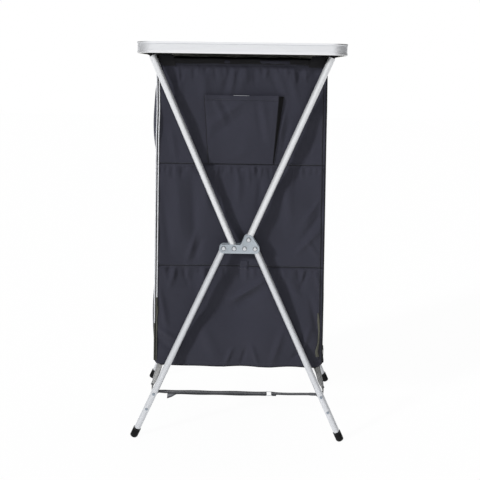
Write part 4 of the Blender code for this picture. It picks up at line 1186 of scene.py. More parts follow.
left_bulges = compartments(BAG_BOTTOM, HEADER_BOTTOM, (0.015, 0.008, 0.021))
left_place, LEFT_CUT = side_place(-1, BAG_BOTTOM, left_bulges, LEFT_SEED)
header_place, HEADER_CUT = side_place(1, HEADER_BOTTOM, [], HEADER_SEED)
left_side = bent_sheet("left_side", 70, 250, left_place, LEFT_CUT, side_cloth, backing=inner_coating)
with_bag(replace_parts(left_side, "closed_side_panel"))
header = bent_sheet("header", 60, 44, header_place, HEADER_CUT, side_cloth, backing=inner_coating)
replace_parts(header, "door_header")


def left_surface(y, z):
    """The left side's x at a place below the rail."""
    run, _, heights, _ = side_line(BAG_BOTTOM)
    along = np.interp(z, heights[:LINE_STEPS], run[:LINE_STEPS]) / run[-1]
    return left_place((1 - y / BAG_Y) / 2, along)[0]


print("sides:", [[round(v, 3) for v in piece.dimensions] for piece in (left_side, header)])

# %% Door
DOOR_LOW, DOOR_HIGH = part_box("door_sheet")[0].z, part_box("door_sheet")[1].z
DOOR_CUT = (2 * BAG_Y, DOOR_HIGH - DOOR_LOW)
DOOR_BULGES = compartments(DOOR_LOW, DOOR_HIGH, (0.0035, 0.0015, 0.0020))
DOOR_SEED, DOOR_WAVES, DOOR_SOFTNESS, DOOR_KEEP = 47, 0.0010, 0.8, 0.04


def with_door(piece):
    """A piece of the door gets a mesh of its own."""
    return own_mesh(piece)


def door_surface(y, z):
    """The door's x at a place."""
    held = np.cos(np.clip(y / BAG_Y, -1, 1) * math.pi / 2) ** DOOR_SOFTNESS
    out = bulging(z, DOOR_BULGES) + waves(y, z, DOOR_SEED, DOOR_WAVES)
    return bag_half(z) + SIDE_GAP + out * held


def door_place(across, along):
    z = DOOR_LOW + along * (DOOR_HIGH - DOOR_LOW)
    y = (2 * across - 1) * BAG_Y
    return door_surface(y, z), y, z


door = bent_sheet("door", 64, 170, door_place, DOOR_CUT, side_cloth, backing=inner_coating)
with_door(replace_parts(door, "door_sheet"))
print("door:", [round(v, 3) for v in door.dimensions])

# %% The door's hem
# The roll is counted in half turns: the cloth goes round the stiffener once and a quarter.
ROLL_START, ROLL_TURNS, ROLL_SPIRAL, ROLL_FLAT = 1.0, 2.5, 0.0011, 0.55
batten_low, batten_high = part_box("door_batten")
ROLL_WIDTH, ROLL_RADIUS = batten_high.y - batten_low.y, (batten_high.z - batten_low.z) / 2
ROLL_MIDDLE = (batten_low + batten_high) / 2
ROLL_CUT = (ROLL_WIDTH, math.pi * ROLL_TURNS * ROLL_RADIUS)
DROOP, DROOP_RIPPLES, END_FLATTER, END_POWER = 0.0006, 40, 0.35, 8


def hem_place(across, along):
    """The hem's cloth rolled round the flat stiffener, flatter still towards its two ends."""
    turn = math.pi * (ROLL_START + ROLL_TURNS * along)
    radius = ROLL_RADIUS - ROLL_SPIRAL * along
    y = (2 * across - 1) * ROLL_WIDTH / 2
    droop = DROOP * np.sin(y * DROOP_RIPPLES)
    flat = ROLL_FLAT * (1 - END_FLATTER * np.abs(2 * across - 1) ** END_POWER)
    x = ROLL_MIDDLE.x - ROLL_RADIUS * (1 - flat) + flat * radius * np.cos(turn)
    return x, y, ROLL_MIDDLE.z + radius * np.sin(turn) + droop


hem = bent_sheet(
    "door_hem", 60, 40, hem_place, ROLL_CUT, side_cloth, BODY["door_batten"], thickness=0.0008, offset=0
)
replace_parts(hem, "door_batten")
print("hem:", [round(v, 3) for v in hem.dimensions])

# %% [markdown]
# ## Zips
#
# A zip runs down each edge of the door: a tape on the door's side, a tape on the bag's side, and a row of
# small moulded teeth between them. The slider waits near the foot, with its pull hanging down. A tooth is a
# plain block of six faces, because there are hundreds of them.

# %% Zips
ZIP_Y, ZIP_TAPE, ZIP_TAPE_OUT, TOOTH_PITCH = BAG_Y - 0.016, 0.012, 0.0010, 0.0030
ZIP_LOW, ZIP_HIGH = DOOR_LOW + 0.012, DOOR_HIGH - 0.004
ZIP_CUT = (ZIP_TAPE, ZIP_HIGH - ZIP_LOW)
# Sizes (x, y, z), and how far each stands out of the door.
TOOTH, TOOTH_OUT, TOOTH_ASIDE = (0.0016, 0.0036, 0.0020), 0.0022, 0.0007
SLIDER, SLIDER_OUT, SLIDER_RISE = (0.0034, 0.0085, 0.0120), 0.0030, 0.034
PULL, PULL_OUT, PULL_DROP = (0.0014, 0.0058, 0.030), 0.0049, 0.017


def zip_tape_place(y_side, start, end):
    """The bend of a tape that lies on the door from start to end, counted from the zip's line."""

    def place(across, along):
        z = ZIP_LOW + along * (ZIP_HIGH - ZIP_LOW)
        y = y_side * ZIP_Y + start + across * (end - start)
        return door_surface(y, z) + ZIP_TAPE_OUT, y, z

    return place


def door_x(y, z):
    """The door's x at one point."""
    return float(door_surface(np.array([y]), np.array([z]))[0])


def add_block(bm, size, place, bevel=0.0):
    """A block of a size at a place, its edges rounded in two steps where a bevel is given."""
    matrix = Matrix.Translation(place) @ Matrix.Diagonal((*size, 1))
    verts = bmesh.ops.create_cube(bm, size=1.0, matrix=matrix)["verts"]
    if bevel:
        edges = list({edge for vert in verts for edge in vert.link_edges})
        bmesh.ops.bevel(bm, geom=edges, offset=bevel, segments=2, profile=0.5, affect="EDGES", material=-1)


def zip_teeth(name, y):
    """A row of small blocks, one for each pair of teeth, standing left and right of the line in turn."""
    bm = bmesh.new()
    for number, z in enumerate(np.arange(ZIP_LOW, ZIP_HIGH, TOOTH_PITCH)):
        shift = TOOTH_ASIDE if number % 2 else -TOOTH_ASIDE
        add_block(bm, TOOTH, (door_x(y, z) + TOOTH_OUT, y + shift, z))
    return as_object(name, bm, black_plastic, "root")


def zip_slider(name, y):
    """A bevelled body over the teeth, and a flat pull that hangs from it."""
    z = ZIP_LOW + SLIDER_RISE
    x = door_x(y, z)
    bm = bmesh.new()
    add_block(bm, SLIDER, (x + SLIDER_OUT, y, z), bevel=0.0010)
    add_block(bm, PULL, (x + PULL_OUT, y, z - PULL_DROP), bevel=0.0005)
    return as_object(name, bm, black_plastic, "root")


for y_side, label in ((-1, "near"), (1, "far")):
    for part, side, hold in (("door", -y_side, with_door), ("bag", y_side, with_bag)):
        start, end = (0.0, ZIP_TAPE) if side > 0 else (-ZIP_TAPE, 0.0)
        place, name = zip_tape_place(y_side, start, end), f"zip_tape_{part}_{label}"
        hold(bent_sheet(name, 5, 120, place, ZIP_CUT, dark_elastic))
    with_door(zip_teeth(f"zip_teeth_{label}", y_side * ZIP_Y))
    with_door(zip_slider(f"zip_slider_{label}", y_side * ZIP_Y))
print("zips:", round(ZIP_CUT[1], 3), "m each")

# %% [markdown]
# ## Cords, tapes and piping
#
# A round cord is a narrow sheet rolled round its line. A curve with a bevel would be quicker to draw, but a
# rolled sheet keeps UVs in metres, so a thread has its real size here too. The zip's piping makes two bright
# lines down the left corner, and the top of each face is bound in black tape, whose black is partly painted
# shade from the tabletop.

# %% Line helpers


def along_line(points):
    """The distance from the start of a line of points to each of them."""
    return np.concatenate([[0], np.cumsum(np.linalg.norm(np.diff(points, axis=0), axis=1))])


def at_distance(reach, run, columns):
    """Rows of a line's columns, read at distances along it."""
    return np.column_stack([np.interp(reach, run, column) for column in columns.T])


print("a line 3 m across and 4 m up:", along_line(np.array([(0, 0), (3, 4)]))[-1], "m long")

# %% Cord helper
MERGE_NEAR = 1e-6


def corded(name, points, radius, finish, body="root", sides=10, spacing=0.003, closed=False):
    """A cord along a line of points, resampled evenly; its UVs are its girth and its length."""
    line = np.array([*points, points[0]] if closed else points, float)
    run = along_line(line)
    count = max(8, int(run[-1] / spacing))
    even = at_distance(np.linspace(0, run[-1], count), run, line)
    ways = np.gradient(even, axis=0)
    if closed:
        ways[0] = ways[-1] = even[1] - even[-2]
    ways /= np.linalg.norm(ways, axis=1)[:, None]
    lead = np.array((0.0, 0.0, 1.0)) if abs(ways[:, 2]).max() < 0.9 else np.array((0.0, 1.0, 0.0))
    if abs(ways @ lead).max() > 0.95:
        lead = np.array((1.0, 0.0, 0.0))
    first = np.cross(ways, lead)
    first /= np.linalg.norm(first, axis=1)[:, None]
    second = np.cross(ways, first)

    def place(across, along):
        at = np.rint(along * (count - 1)).astype(int)
        turn = across[:, None] * math.tau
        return (even[at] + radius * (np.cos(turn) * first[at] + np.sin(turn) * second[at])).T

    piece = bent_sheet(name, sides, count - 1, place, (math.tau * radius, run[-1]), finish, body, thickness=0)
    bm = bmesh.new()
    bm.from_mesh(piece.data)
    bmesh.ops.remove_doubles(bm, verts=bm.verts, dist=MERGE_NEAR)
    bmesh.ops.holes_fill(bm, edges=bm.edges, sides=0)
    bmesh.ops.recalc_face_normals(bm, faces=bm.faces)
    bm.to_mesh(piece.data)
    bm.free()
    return piece


def trim_or_shade_cord(name, points, radius, finish=binding_tape_and_painted_shade, sides=8):
    """A cord that rides on the bag: sewn tape or piping, or a black line of painted shade."""
    return with_bag(corded(name, points, radius, finish, sides=sides))


print("finishes for cords:", [cord.name for cord in (zip_piping, binding_tape_and_painted_shade, pale_elastic, dark_elastic)])

# %% Piping and edge bindings
EDGE_LOW, EDGE_HIGH = 0.245, 1.105
# Each line of piping: its distance from the corner, and the height below which it is olive seam allowance.
PIPING = ((-0.0004, 0.352), (0.0062, 0.432))
PIPING_LOW, PIPING_HIGH, PIPING_RADIUS, PIPING_OUT = 0.235, 1.112, 0.0017, 0.0016
BINDING_ENDS, BINDING_RADIUS, BINDING_OUT = (0.232, 1.118), 0.0016, 0.0006
CORNER_SEAM_INSET, CORNER_SEAM_OUT, CORNER_SEAM_RADIUS = 0.0088, 0.0002, 0.0012


def corner_line(side, out, inset, low, high):
    """Points up a near corner of the bag, on the near face."""
    z = np.linspace(low, high, 120)
    x = side * (face_half(z) - inset)
    if side < 0:
        x = x + edge_shift(z)
    return np.column_stack([x, np.full_like(z, -BAG_Y - out), z])


def on_near_face(x, z, out):
    """Points on the near face's cloth, raised from it by out."""
    return np.column_stack([x, near_surface(x, z) - out, z])


def corner_on_cloth(side, inset, out):
    """Points up a near corner that follow the face's own folds."""
    line = corner_line(side, 0.0, inset, EDGE_LOW, EDGE_HIGH)
    return on_near_face(line[:, 0], line[:, 2], out)


for number, (inset, foot) in enumerate(PIPING):
    piping = corner_line(-1, PIPING_OUT, inset, foot, PIPING_HIGH)
    bright = corded(f"zip_piping_{number}", piping, PIPING_RADIUS, zip_piping)
    with_bag(bright)
    foot_line = corner_line(-1, PIPING_OUT, inset, PIPING_LOW, foot)
    trim_or_shade_cord(f"zip_piping_foot_{number}", foot_line, PIPING_RADIUS, seam_allowance, sides=10)
for side, hand, inset in ((-1, "left", 0.0030), (1, "right", -0.0004)):
    line = corner_line(side, BINDING_OUT, inset, *BINDING_ENDS)
    trim_or_shade_cord(f"edge_binding_{hand}", line, BINDING_RADIUS, sides=10)
    trim_or_shade_cord(f"edge_binding_far_{hand}", line * (1, -1, 1), BINDING_RADIUS, sides=10)
line = corner_on_cloth(1, CORNER_SEAM_INSET, CORNER_SEAM_OUT)
trim_or_shade_cord("corner_seam_right", line, CORNER_SEAM_RADIUS)

# %% Top binding
BINDING_LOW, BINDING_HIGH = 1.113, {"near": 1.127, "far": 1.1395}
# The tape in section, up its outer side, over and down inside: (distance out, share of its height).
BINDING_FOLD = np.array(
    [(0.0014, 0.0), (0.0016, 0.45), (0.0014, 0.93), (0.0002, 1.0), (-0.0022, 0.93), (-0.0026, 0.0)]
)
# Each wave: its height, how many radians it makes in a metre, and where it starts.
BINDING_WAVES, BINDING_SAG, SAG_RIPPLES = ((0.0007, 70, 1), (0.0005, 190, 0)), 0.0006, 55


def binding_place(y_side, top):
    """Tape folded over the top edge of a face, and its flat size."""
    section = BINDING_FOLD * (1, top - BINDING_LOW)
    run = along_line(section)

    def place(across, along):
        out, up = at_distance(along * run[-1], run, section).T
        x = -y_side * (2 * across - 1) * (bag_half(BAG_TOP) - 0.001)
        wave = sum(height * np.sin(x * ripples + start) for height, ripples, start in BINDING_WAVES)
        return x, y_side * (BAG_Y + out + wave), BINDING_LOW + up + BINDING_SAG * np.sin(x * SAG_RIPPLES)

    return place, (2 * bag_half(BAG_TOP), run[-1])


# The binding's black is partly painted shade: the tabletop's shadow on the top of each face.
for y_side, where in ((-1, "near"), (1, "far")):
    place, cut = binding_place(y_side, BINDING_HIGH[where])
    binding = bent_sheet(
        f"top_binding_and_shade_{where}", 110, 16, place, cut, binding_tape_and_painted_shade, thickness=0.0007, backing=inner_coating
    )
    with_bag(binding)
print("binding:", round(cut[1], 3), "m wide before it is folded")

# %% [markdown]
# ## Patch pocket and sewn tab
#
# The pocket is one piece of cloth. It is tucked under at its left, and at its right a gusset folds back to
# the panel behind, so its mouth stands open there. Front and gusset could be two sheets. They are bent as
# one, because they are cut as one. Its hem is turned over once. The small tab under the bracket is sewn on
# flat.

# %% Pocket
POCKET_LOW, POCKET_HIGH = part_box("patch_pocket")[0].z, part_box("patch_pocket")[1].z
POCKET_HEIGHT = POCKET_HIGH - POCKET_LOW
POCKET_CUT = (0.238, POCKET_HEIGHT)
# At its foot and at its mouth: half the front's width, the gusset's reach and the depth.
POCKET_FOOT, POCKET_MOUTH = (0.0915, 0.0935, 0.0020), (0.1040, 0.1190, 0.0165)
POCKET_TUCK, POCKET_GAIN, POCKET_TURN = 0.0025, 1.7, 0.075
# How far it stands open at its left, and how strongly it is creased at its foot, both as shares.
OPEN_LEFT, CREASED_FOOT, POCKET_BELLY, POCKET_WAVES, POCKET_SEED = 0.40, 0.4, 0.0016, 0.0010, 61
POCKET_OUT, HELD_ASIDE, HELD_FOOT, MOUTH_SAG, MOUTH_RIPPLES = 0.0012, 0.012, 0.08, 0.0012, 30
POCKET_FOLDS = [
    ((-0.103, 0.930), (0.015, 1.020), 0.011, 0.0030),
    ((-0.095, 0.900), (0.020, 0.985), 0.012, -0.0026),
    ((-0.055, 0.836), (0.040, 0.880), 0.010, 0.0018),
    ((0.057, 1.014), (0.080, 0.890), 0.010, 0.0022),
    ((0.040, 1.014), (0.062, 0.900), 0.009, -0.0018),
    ((-0.077, 1.018), (-0.042, 0.940), 0.008, 0.0022),
    ((-0.060, 1.018), (-0.025, 0.950), 0.007, -0.0018),
    ((0.000, 0.842), (0.020, 0.930), 0.016, 0.0014),
]


def pocket_place(across, along):
    """The pocket's bend: a tuck at the left, the front, and the gusset at the right."""
    front, gusset, depth = (low + (high - low) * along for low, high in zip(POCKET_FOOT, POCKET_MOUTH))
    tuck = -front + POCKET_TUCK * (1 - across / POCKET_TURN)
    flat = -front + 2 * front * (across - POCKET_TURN) / (1 - 2 * POCKET_TURN)
    open_side = front + (gusset - front) * (across - 1 + POCKET_TURN) / POCKET_TURN
    x = np.select([across < POCKET_TURN, across < 1 - POCKET_TURN], [tuck, flat], open_side)
    z = POCKET_LOW + along * POCKET_HEIGHT
    open_share = OPEN_LEFT + (1 - OPEN_LEFT) * np.clip((x + front) / (2 * front), 0, 1)
    out = depth * open_share * np.clip(np.minimum(across, 1 - across) / POCKET_TURN, 0, 1)
    creased = POCKET_GAIN * sum(ridge(x, z, *fold) for fold in POCKET_FOLDS)
    creased = creased + waves(x, z, POCKET_SEED, POCKET_WAVES)
    creased = POCKET_BELLY * np.sin(math.pi * along) + creased * (CREASED_FOOT + (1 - CREASED_FOOT) * along)
    held = np.clip((front - np.abs(x)) / HELD_ASIDE, 0, 1) * np.minimum(along / HELD_FOOT, 1)
    sag = MOUTH_SAG * (along > 0.999) * np.cos(x * MOUTH_RIPPLES)
    return x, near_surface(x, z) - POCKET_OUT - np.maximum(out + held * creased, 0.0), z - sag


pocket = bent_sheet("pocket", 120, 84, pocket_place, POCKET_CUT, bag_cloth)
with_bag(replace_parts(pocket, "patch_pocket"))
print("pocket:", [round(v, 3) for v in pocket.dimensions])

# %% Pocket's hem, its painted shade lines and the pale strip
POCKET_HEM, HEM_SHORT, HEM_OVER, HEM_OUT, HEM_SAG = 0.013, 0.0008, 0.0007, 0.0011, 0.0010
MOUTH_STRIP, MOUTH_STRIP_WIDTH, MOUTH_STRIP_DROP, MOUTH_STRIP_IN = (-0.0230, 0.0215), 0.0110, 0.010, 0.0012
# The part of the pocket's sheet that the near-black sheet of painted shade covers: where it starts, and how
# much of it.
GUSSET_START, GUSSET_SHARE, GUSSET_OUT = (0.928, 0.02), (0.070, 0.97), 0.0008
POCKET_EDGE_ASIDE, POCKET_EDGE_OUT, POCKET_EDGE_RADIUS, GUSSET_DEPTH = 0.0004, 0.0016, 0.0015, 0.0145


def pocket_front(x, z):
    """The pocket's y at a place on its front, up to its mouth."""
    along = (np.minimum(z, POCKET_HIGH - 0.0002) - POCKET_LOW) / POCKET_HEIGHT
    front = POCKET_FOOT[0] + (POCKET_MOUTH[0] - POCKET_FOOT[0]) * along
    return pocket_place(POCKET_TURN + (x + front) / (2 * front) * (1 - 2 * POCKET_TURN), along)[1]


def gusset_shade_place(across, along):
    """The right gusset's fold, covered by a near-black sheet: painted shade."""
    across = GUSSET_START[0] + GUSSET_SHARE[0] * across
    x, y, z = pocket_place(across, GUSSET_START[1] + GUSSET_SHARE[1] * along)
    return x, y - GUSSET_OUT, z


def mouth_pale_strip(across, along):
    """A short pale strip inside the mouth, whose upper edge shows."""
    x = MOUTH_STRIP[0] + across * (MOUTH_STRIP[1] - MOUTH_STRIP[0])
    z = POCKET_HIGH - MOUTH_STRIP_DROP + along * MOUTH_STRIP_WIDTH
    return x, pocket_front(x, z) + MOUTH_STRIP_IN, z


def hem_strip(across, along):
    """The pocket's upper edge, turned over once."""
    x = (2 * across - 1) * (POCKET_MOUTH[0] - HEM_SHORT)
    z = POCKET_HIGH - POCKET_HEM + along * (POCKET_HEM + HEM_OVER)
    return x, pocket_front(x, z) - HEM_OUT, z - HEM_SAG * np.cos(x * MOUTH_RIPPLES) * along


share = np.linspace(0.001, POCKET_HEIGHT - 0.001, 80) / POCKET_HEIGHT
pocket_x = POCKET_FOOT[0] + (POCKET_MOUTH[0] - POCKET_FOOT[0]) * share
# Two black cords along the pocket's sides are painted shade: the thin shadow lines where the pocket stands
# off the panel.
for hand, side, depth in (("left", -1, 0.0), ("right", 1, GUSSET_DEPTH)):
    x, z = side * (pocket_x + POCKET_EDGE_ASIDE), POCKET_LOW + share * POCKET_HEIGHT
    line = on_near_face(x, z, POCKET_EDGE_OUT + depth * share)
    trim_or_shade_cord(f"pocket_edge_painted_shade_{hand}", line, POCKET_EDGE_RADIUS)
# The gusset's near-black sheet is painted shade.
for name, columns, rows, place, cut, finish, thickness in (
    ("pocket_gusset_painted_shade", 8, 60, gusset_shade_place, (0.012, POCKET_HEIGHT), gusset_painted_shade, 0.0005),
    ("mouth_pale_strip", 24, 6, mouth_pale_strip, (MOUTH_STRIP[1] - MOUTH_STRIP[0], MOUTH_STRIP_WIDTH), zip_tape, CLOTH),
    ("pocket_hem", 96, 6, hem_strip, (2 * POCKET_MOUTH[0], POCKET_HEM), bag_cloth, CLOTH),
):
    with_bag(bent_sheet(name, columns, rows, place, cut, finish, thickness=thickness))

# %% Sewn tab and turned edges
TAB_LOW, TAB_SIZE, TAB_OUT, TAB_RISE, TAB_EDGE = (0.002, 0.5190), (0.024, 0.0270), 0.0010, 0.0012, 0.12
TURNED_OUT, TURNED_RISE, TURNED_LEAST, RIPPLE, RIPPLES = 0.0012, 0.0010, 0.0008, 0.0004, 9
# Where a corner's seam edge has turned over, its coated inside shows: x, width and height, from the top down.
TURNED_EDGES = {
    "right": [
        (0.2355, 0.003, 0.392), (0.2370, 0.006, 0.365), (0.2405, 0.005, 0.335), (0.2390, 0.005, 0.300),
        (0.2335, 0.008, 0.274), (0.2375, 0.010, 0.256),
    ],
    "left": [
        (-0.2395, 0.001, 0.405), (-0.2405, 0.003, 0.385), (-0.2430, 0.003, 0.360), (-0.2420, 0.001, 0.330),
    ],
}


def tab_place(across, along):
    """A small square of cloth, pressed down round its edge."""
    x, z = TAB_LOW[0] + across * TAB_SIZE[0], TAB_LOW[1] + along * TAB_SIZE[1]
    edge = np.minimum(np.minimum(across, 1 - across), np.minimum(along, 1 - along))
    return x, near_surface(x, z) - TAB_OUT - TAB_RISE * np.clip(edge / TAB_EDGE, 0, 1), z


def turned_edge_place(rows):
    """The bend of a narrow strip that follows the rows and stands up a little along its middle."""
    run, rows = np.linspace(0, 1, len(rows)), np.array(rows)

    def place(across, along):
        x, width, z = at_distance(along, run, rows).T
        ripple = RIPPLE * np.sin(along * RIPPLES)
        x = x + ripple + (across - 0.5) * np.maximum(width + ripple, TURNED_LEAST)
        return x, near_surface(x, z) - TURNED_OUT - TURNED_RISE * np.sin(math.pi * across), z

    return place


with_bag(bent_sheet("sewn_tab", 14, 16, tab_place, TAB_SIZE, bag_cloth))
for hand, rows in TURNED_EDGES.items():
    place, cut = turned_edge_place(rows), (0.005, rows[0][2] - rows[-1][2])
    edge = bent_sheet(f"turned_edge_{hand}", 8, 40, place, cut, seam_allowance, thickness=0.0005)
    with_bag(edge)
print("turned edges:", sorted(TURNED_EDGES))

# %% [markdown]
# ## Seam lines and corner tabs
#
# Where a shelf's cloth is caught in a seam, the shade in the seam's groove is painted as a thin black line. A
# line painted in the material would vanish from the side, so it is a thin cord. At each upper corner a black
# tab of tape is folded round the rail and sewn to the face, and takes the bag's weight; its black also paints
# the shade there.

# %% Seam lines
SEAM_INSET, SEAM_OUT, SEAM_RADIUS, SIDE_SEAM_RADIUS = 0.004, 0.0002, 0.0010, 0.0011
HEM_LINE_OUT, HEM_LINE_RADIUS = 0.0004, 0.0013

# Black cords along the seams on the near, far and left faces: painted shade in the seams' grooves.
for number, seam in enumerate(SEAMS):
    xs = np.linspace(-1, 1, 150) * (bag_half(seam) - SEAM_INSET)
    zs = np.full_like(xs, seam)
    for label, ys in (("near", near_surface(xs, zs) - SEAM_OUT), ("far", far_surface(xs, zs) + SEAM_OUT)):
        trim_or_shade_cord(f"seam_edge_{label}_{number}", np.column_stack([xs, ys, zs]), SEAM_RADIUS)
    ys = np.linspace(-BAG_Y + SEAM_INSET, BAG_Y - SEAM_INSET, 110)
    zs = np.full_like(ys, seam)
    line = np.column_stack([left_surface(ys, zs) - SEAM_OUT, ys, zs])
    trim_or_shade_cord(f"seam_edge_left_{number}", line, SIDE_SEAM_RADIUS)
across = np.linspace(0, 1, 160)
foot = np.zeros_like(across)
for label, ends, out in (
    ("near", near_place(across, foot), -HEM_LINE_OUT),
    ("far", far_place(1 - across, foot), HEM_LINE_OUT),
):
    trim_or_shade_cord(f"hem_edge_{label}", np.column_stack(ends) + (0, out, HEM_LINE_OUT), HEM_LINE_RADIUS)

# %% Corner tabs
CORNER_TAB_LOW, CORNER_TAB_SIZE = (0.1850, 1.1060), (0.0390, 0.0300)
CORNER_TAB_OUT, CORNER_TAB_BELLY, CORNER_TAB_WAVE, CORNER_TAB_LEAN = 0.0034, 0.0016, 0.0010, 0.010


def corner_tab_place(side, y_side):
    """The bend of a tab that leans out towards the rail at its top."""

    def place(across, along):
        share = across if side * y_side < 0 else 1 - across
        x = CORNER_TAB_LOW[0] + share * CORNER_TAB_SIZE[0]
        z = CORNER_TAB_LOW[1] + along * CORNER_TAB_SIZE[1]
        wave = CORNER_TAB_WAVE * np.sin(x * 160) * along
        out = CORNER_TAB_OUT + CORNER_TAB_BELLY * np.sin(np.pi * along) + wave
        return side * (x + CORNER_TAB_LEAN * along**2), y_side * (BAG_Y + out), z

    return place


# The tabs are real tape, and their black also paints the shade of the tubes and the tabletop in the upper
# corners.
for side, hand in ((-1, "left"), (1, "right")):
    for y_side, label in ((-1, "near"), (1, "far")):
        place, name = corner_tab_place(side, y_side), f"corner_tab_and_shade_{label}_{hand}"
        corner_tab_and_shade = bent_sheet(name, 16, 20, place, CORNER_TAB_SIZE, binding_tape_and_painted_shade, thickness=0.0012)
        with_bag(corner_tab_and_shade)

# %% [markdown]
# ## Stitches
#
# Every seam is a lockstitch: short dashes of thread. Each dash is a small stretched ball of few faces, copied
# along a line of points on the cloth. Real geometry holds up in a close view, where a bump would look flat.

# %% Stitch helper
STITCH_PITCH, STITCH_LENGTH, STITCH_RADIUS = 0.0042, 0.0030, 0.00038
STITCH = Matrix.Diagonal((STITCH_RADIUS, STITCH_RADIUS, STITCH_LENGTH / 2, 1))
THREAD_OUT, AHEAD = 0.0003, 0.001


def stitched(name, points):
    """A row of stitches along a line of points."""
    line = np.array(points, float)
    run = along_line(line)
    places = np.arange(STITCH_PITCH / 2, run[-1], STITCH_PITCH)
    bm = bmesh.new()
    for centre, onward in zip(at_distance(places, run, line), at_distance(places + AHEAD, run, line)):
        way = Vector(onward - centre)
        if way.length < 1e-6:
            continue
        turn = way.to_track_quat("Z", "Y").to_matrix().to_4x4()
        matrix = Matrix.Translation(centre) @ turn @ STITCH
        bmesh.ops.create_uvsphere(bm, u_segments=6, v_segments=4, radius=1.0, matrix=matrix)
    return as_object(name, bm, thread, "root")


def across_near(z, inset=0.006):
    """Points across the near face at a height."""
    x = np.linspace(-1, 1, 160) * (bag_half(z) - inset)
    return on_near_face(x, np.full_like(x, z), THREAD_OUT)


def on_left_side(ys, zs):
    """Points on the left side's cloth."""
    return np.column_stack([left_surface(ys, zs) - THREAD_OUT, ys, zs])


print("stitches:", STITCH_LENGTH * 1000, "mm long, one every", STITCH_PITCH * 1000, "mm")

# %% Stitches
SEWN_HEIGHTS = (BAG_BOTTOM + 0.012, LOWER_SEAM + 0.0030, UPPER_SEAM + 0.0030)
TOP_ROW, SIDE_ROW_ENDS, SIDE_ROW_INSET, HEM_ROW_INSET = 1.1100, (0.235, 1.08), 0.010, 0.022
ROW_MARGIN, POCKET_ROW, POCKET_ROW_OUT, ZIP_ROW_OUT = 0.006, 0.098, 0.0014, 0.0012

rows = {
    "top": across_near(TOP_ROW),
    "upper_seam": across_near(SEWN_HEIGHTS[2]),
    "lower_seam": across_near(SEWN_HEIGHTS[1]),
    "hem": across_near(SEWN_HEIGHTS[0], HEM_ROW_INSET),
}
for number, z in enumerate(SEWN_HEIGHTS):
    ys = np.linspace(-BAG_Y + ROW_MARGIN, BAG_Y - ROW_MARGIN, 110)
    rows[f"side_{number}"] = on_left_side(ys, np.full_like(ys, z))
for label, side in (("near", -1), ("far", 1)):
    zs = np.linspace(*SIDE_ROW_ENDS, 200)
    rows[f"side_{label}"] = on_left_side(np.full_like(zs, side * (BAG_Y - SIDE_ROW_INSET)), zs)
for hand, side, inset in (("left", -1, 0.0095), ("right", 1, 0.0125)):
    rows[hand] = corner_on_cloth(side, inset, THREAD_OUT)
hem_x = np.linspace(-POCKET_ROW, POCKET_ROW, 90)
hem_z = np.full_like(hem_x, POCKET_HIGH - POCKET_HEM + 0.0015)
rows["pocket"] = np.column_stack([hem_x, pocket_front(hem_x, hem_z) - POCKET_ROW_OUT, hem_z])
for label, points in rows.items():
    with_bag(stitched(f"stitches_{label}", points))
for label, side in (("near", -1), ("far", 1)):
    for part, shift in (("inner", -0.0025), ("outer", 0.0100)):
        zs = np.linspace(ZIP_LOW, ZIP_HIGH, 160)
        ys = np.full_like(zs, side * (ZIP_Y + shift))
        points = np.column_stack([door_surface(ys, zs) + ZIP_ROW_OUT, ys, zs])
        with_door(stitched(f"stitches_zip_{part}_{label}", points))

# %% [markdown]
# ## Webbing straps and ring
#
# A ring of webbing keeps the legs from spreading. It lies flat between the legs and turns upright where it
# is riveted. The near stretch is doubled back through a wire ring, and its free end hangs down. A curve with
# a flat bevel turns where it likes, so each stretch is a sheet that follows a line of points, with an angle
# and a width given at every point.

# %% Strap helper
WEB, STRAP_Z, STRAP_Y, STRAP_RIVET_X = 0.0012, 0.1405, 0.1916, 0.2495
LEG_KEEP, STRAP_WAVE, STRAP_RIPPLES, STRAP_PHASE = 0.15, 0.0005, 52, 1.3
SEWN_X, FLAT_X = STRAP_RIVET_X + 0.0065, 0.220
# Where a stretch turns from upright at its rivet to flat: distances from the middle, angles and widths.
TURN_X, TURN_ANGLES, TURN_WIDTHS = (SEWN_X, 0.2440, 0.2370), [90, 90, 0], [0.013, 0.014, 0.016]


def strap(name, points, turns, widths, body, columns=150, finish=webbing, flat_way=None):
    """A band of webbing along a line, with its angle from flat, in degrees, and its width at each point."""
    line = np.array(points, float)
    run = along_line(line)
    way = np.gradient(line, run, axis=0)
    way /= np.linalg.norm(way, axis=1)[:, None]
    level = np.column_stack([-way[:, 1], way[:, 0], np.zeros(len(line))])
    level /= np.maximum(np.linalg.norm(level, axis=1), 1e-9)[:, None]
    if flat_way:
        level[:] = flat_way

    def place(across, along):
        reach = across * run[-1]
        centre, flat = at_distance(reach, run, line), at_distance(reach, run, level)
        turn, width = np.radians(np.interp(reach, run, turns)), np.interp(reach, run, widths)
        aside = (along - 0.5) * width
        wave = STRAP_WAVE * np.sin(reach * STRAP_RIPPLES + STRAP_PHASE)
        x, y, z = (centre + (aside * np.cos(turn))[:, None] * flat).T
        return x, y, z + aside * np.sin(turn) + wave

    cut, uv_start = (run[-1], WEB_WIDTH), (0, -WEB_WIDTH / 2)
    piece = bent_sheet(name, columns, 8, place, cut, finish, body, WEB, offset=0, uv_start=uv_start)
    return piece


def with_leg(piece):
    """A strap's stretch gets a mesh of its own."""
    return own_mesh(piece)


def level_points(xs, z, y=-STRAP_Y):
    """Points along x at one height."""
    return [(x, y, z) for x in xs]


print("the webbing turns flat over", round((SEWN_X - TURN_X[-1]) * 1000, 1), "mm")

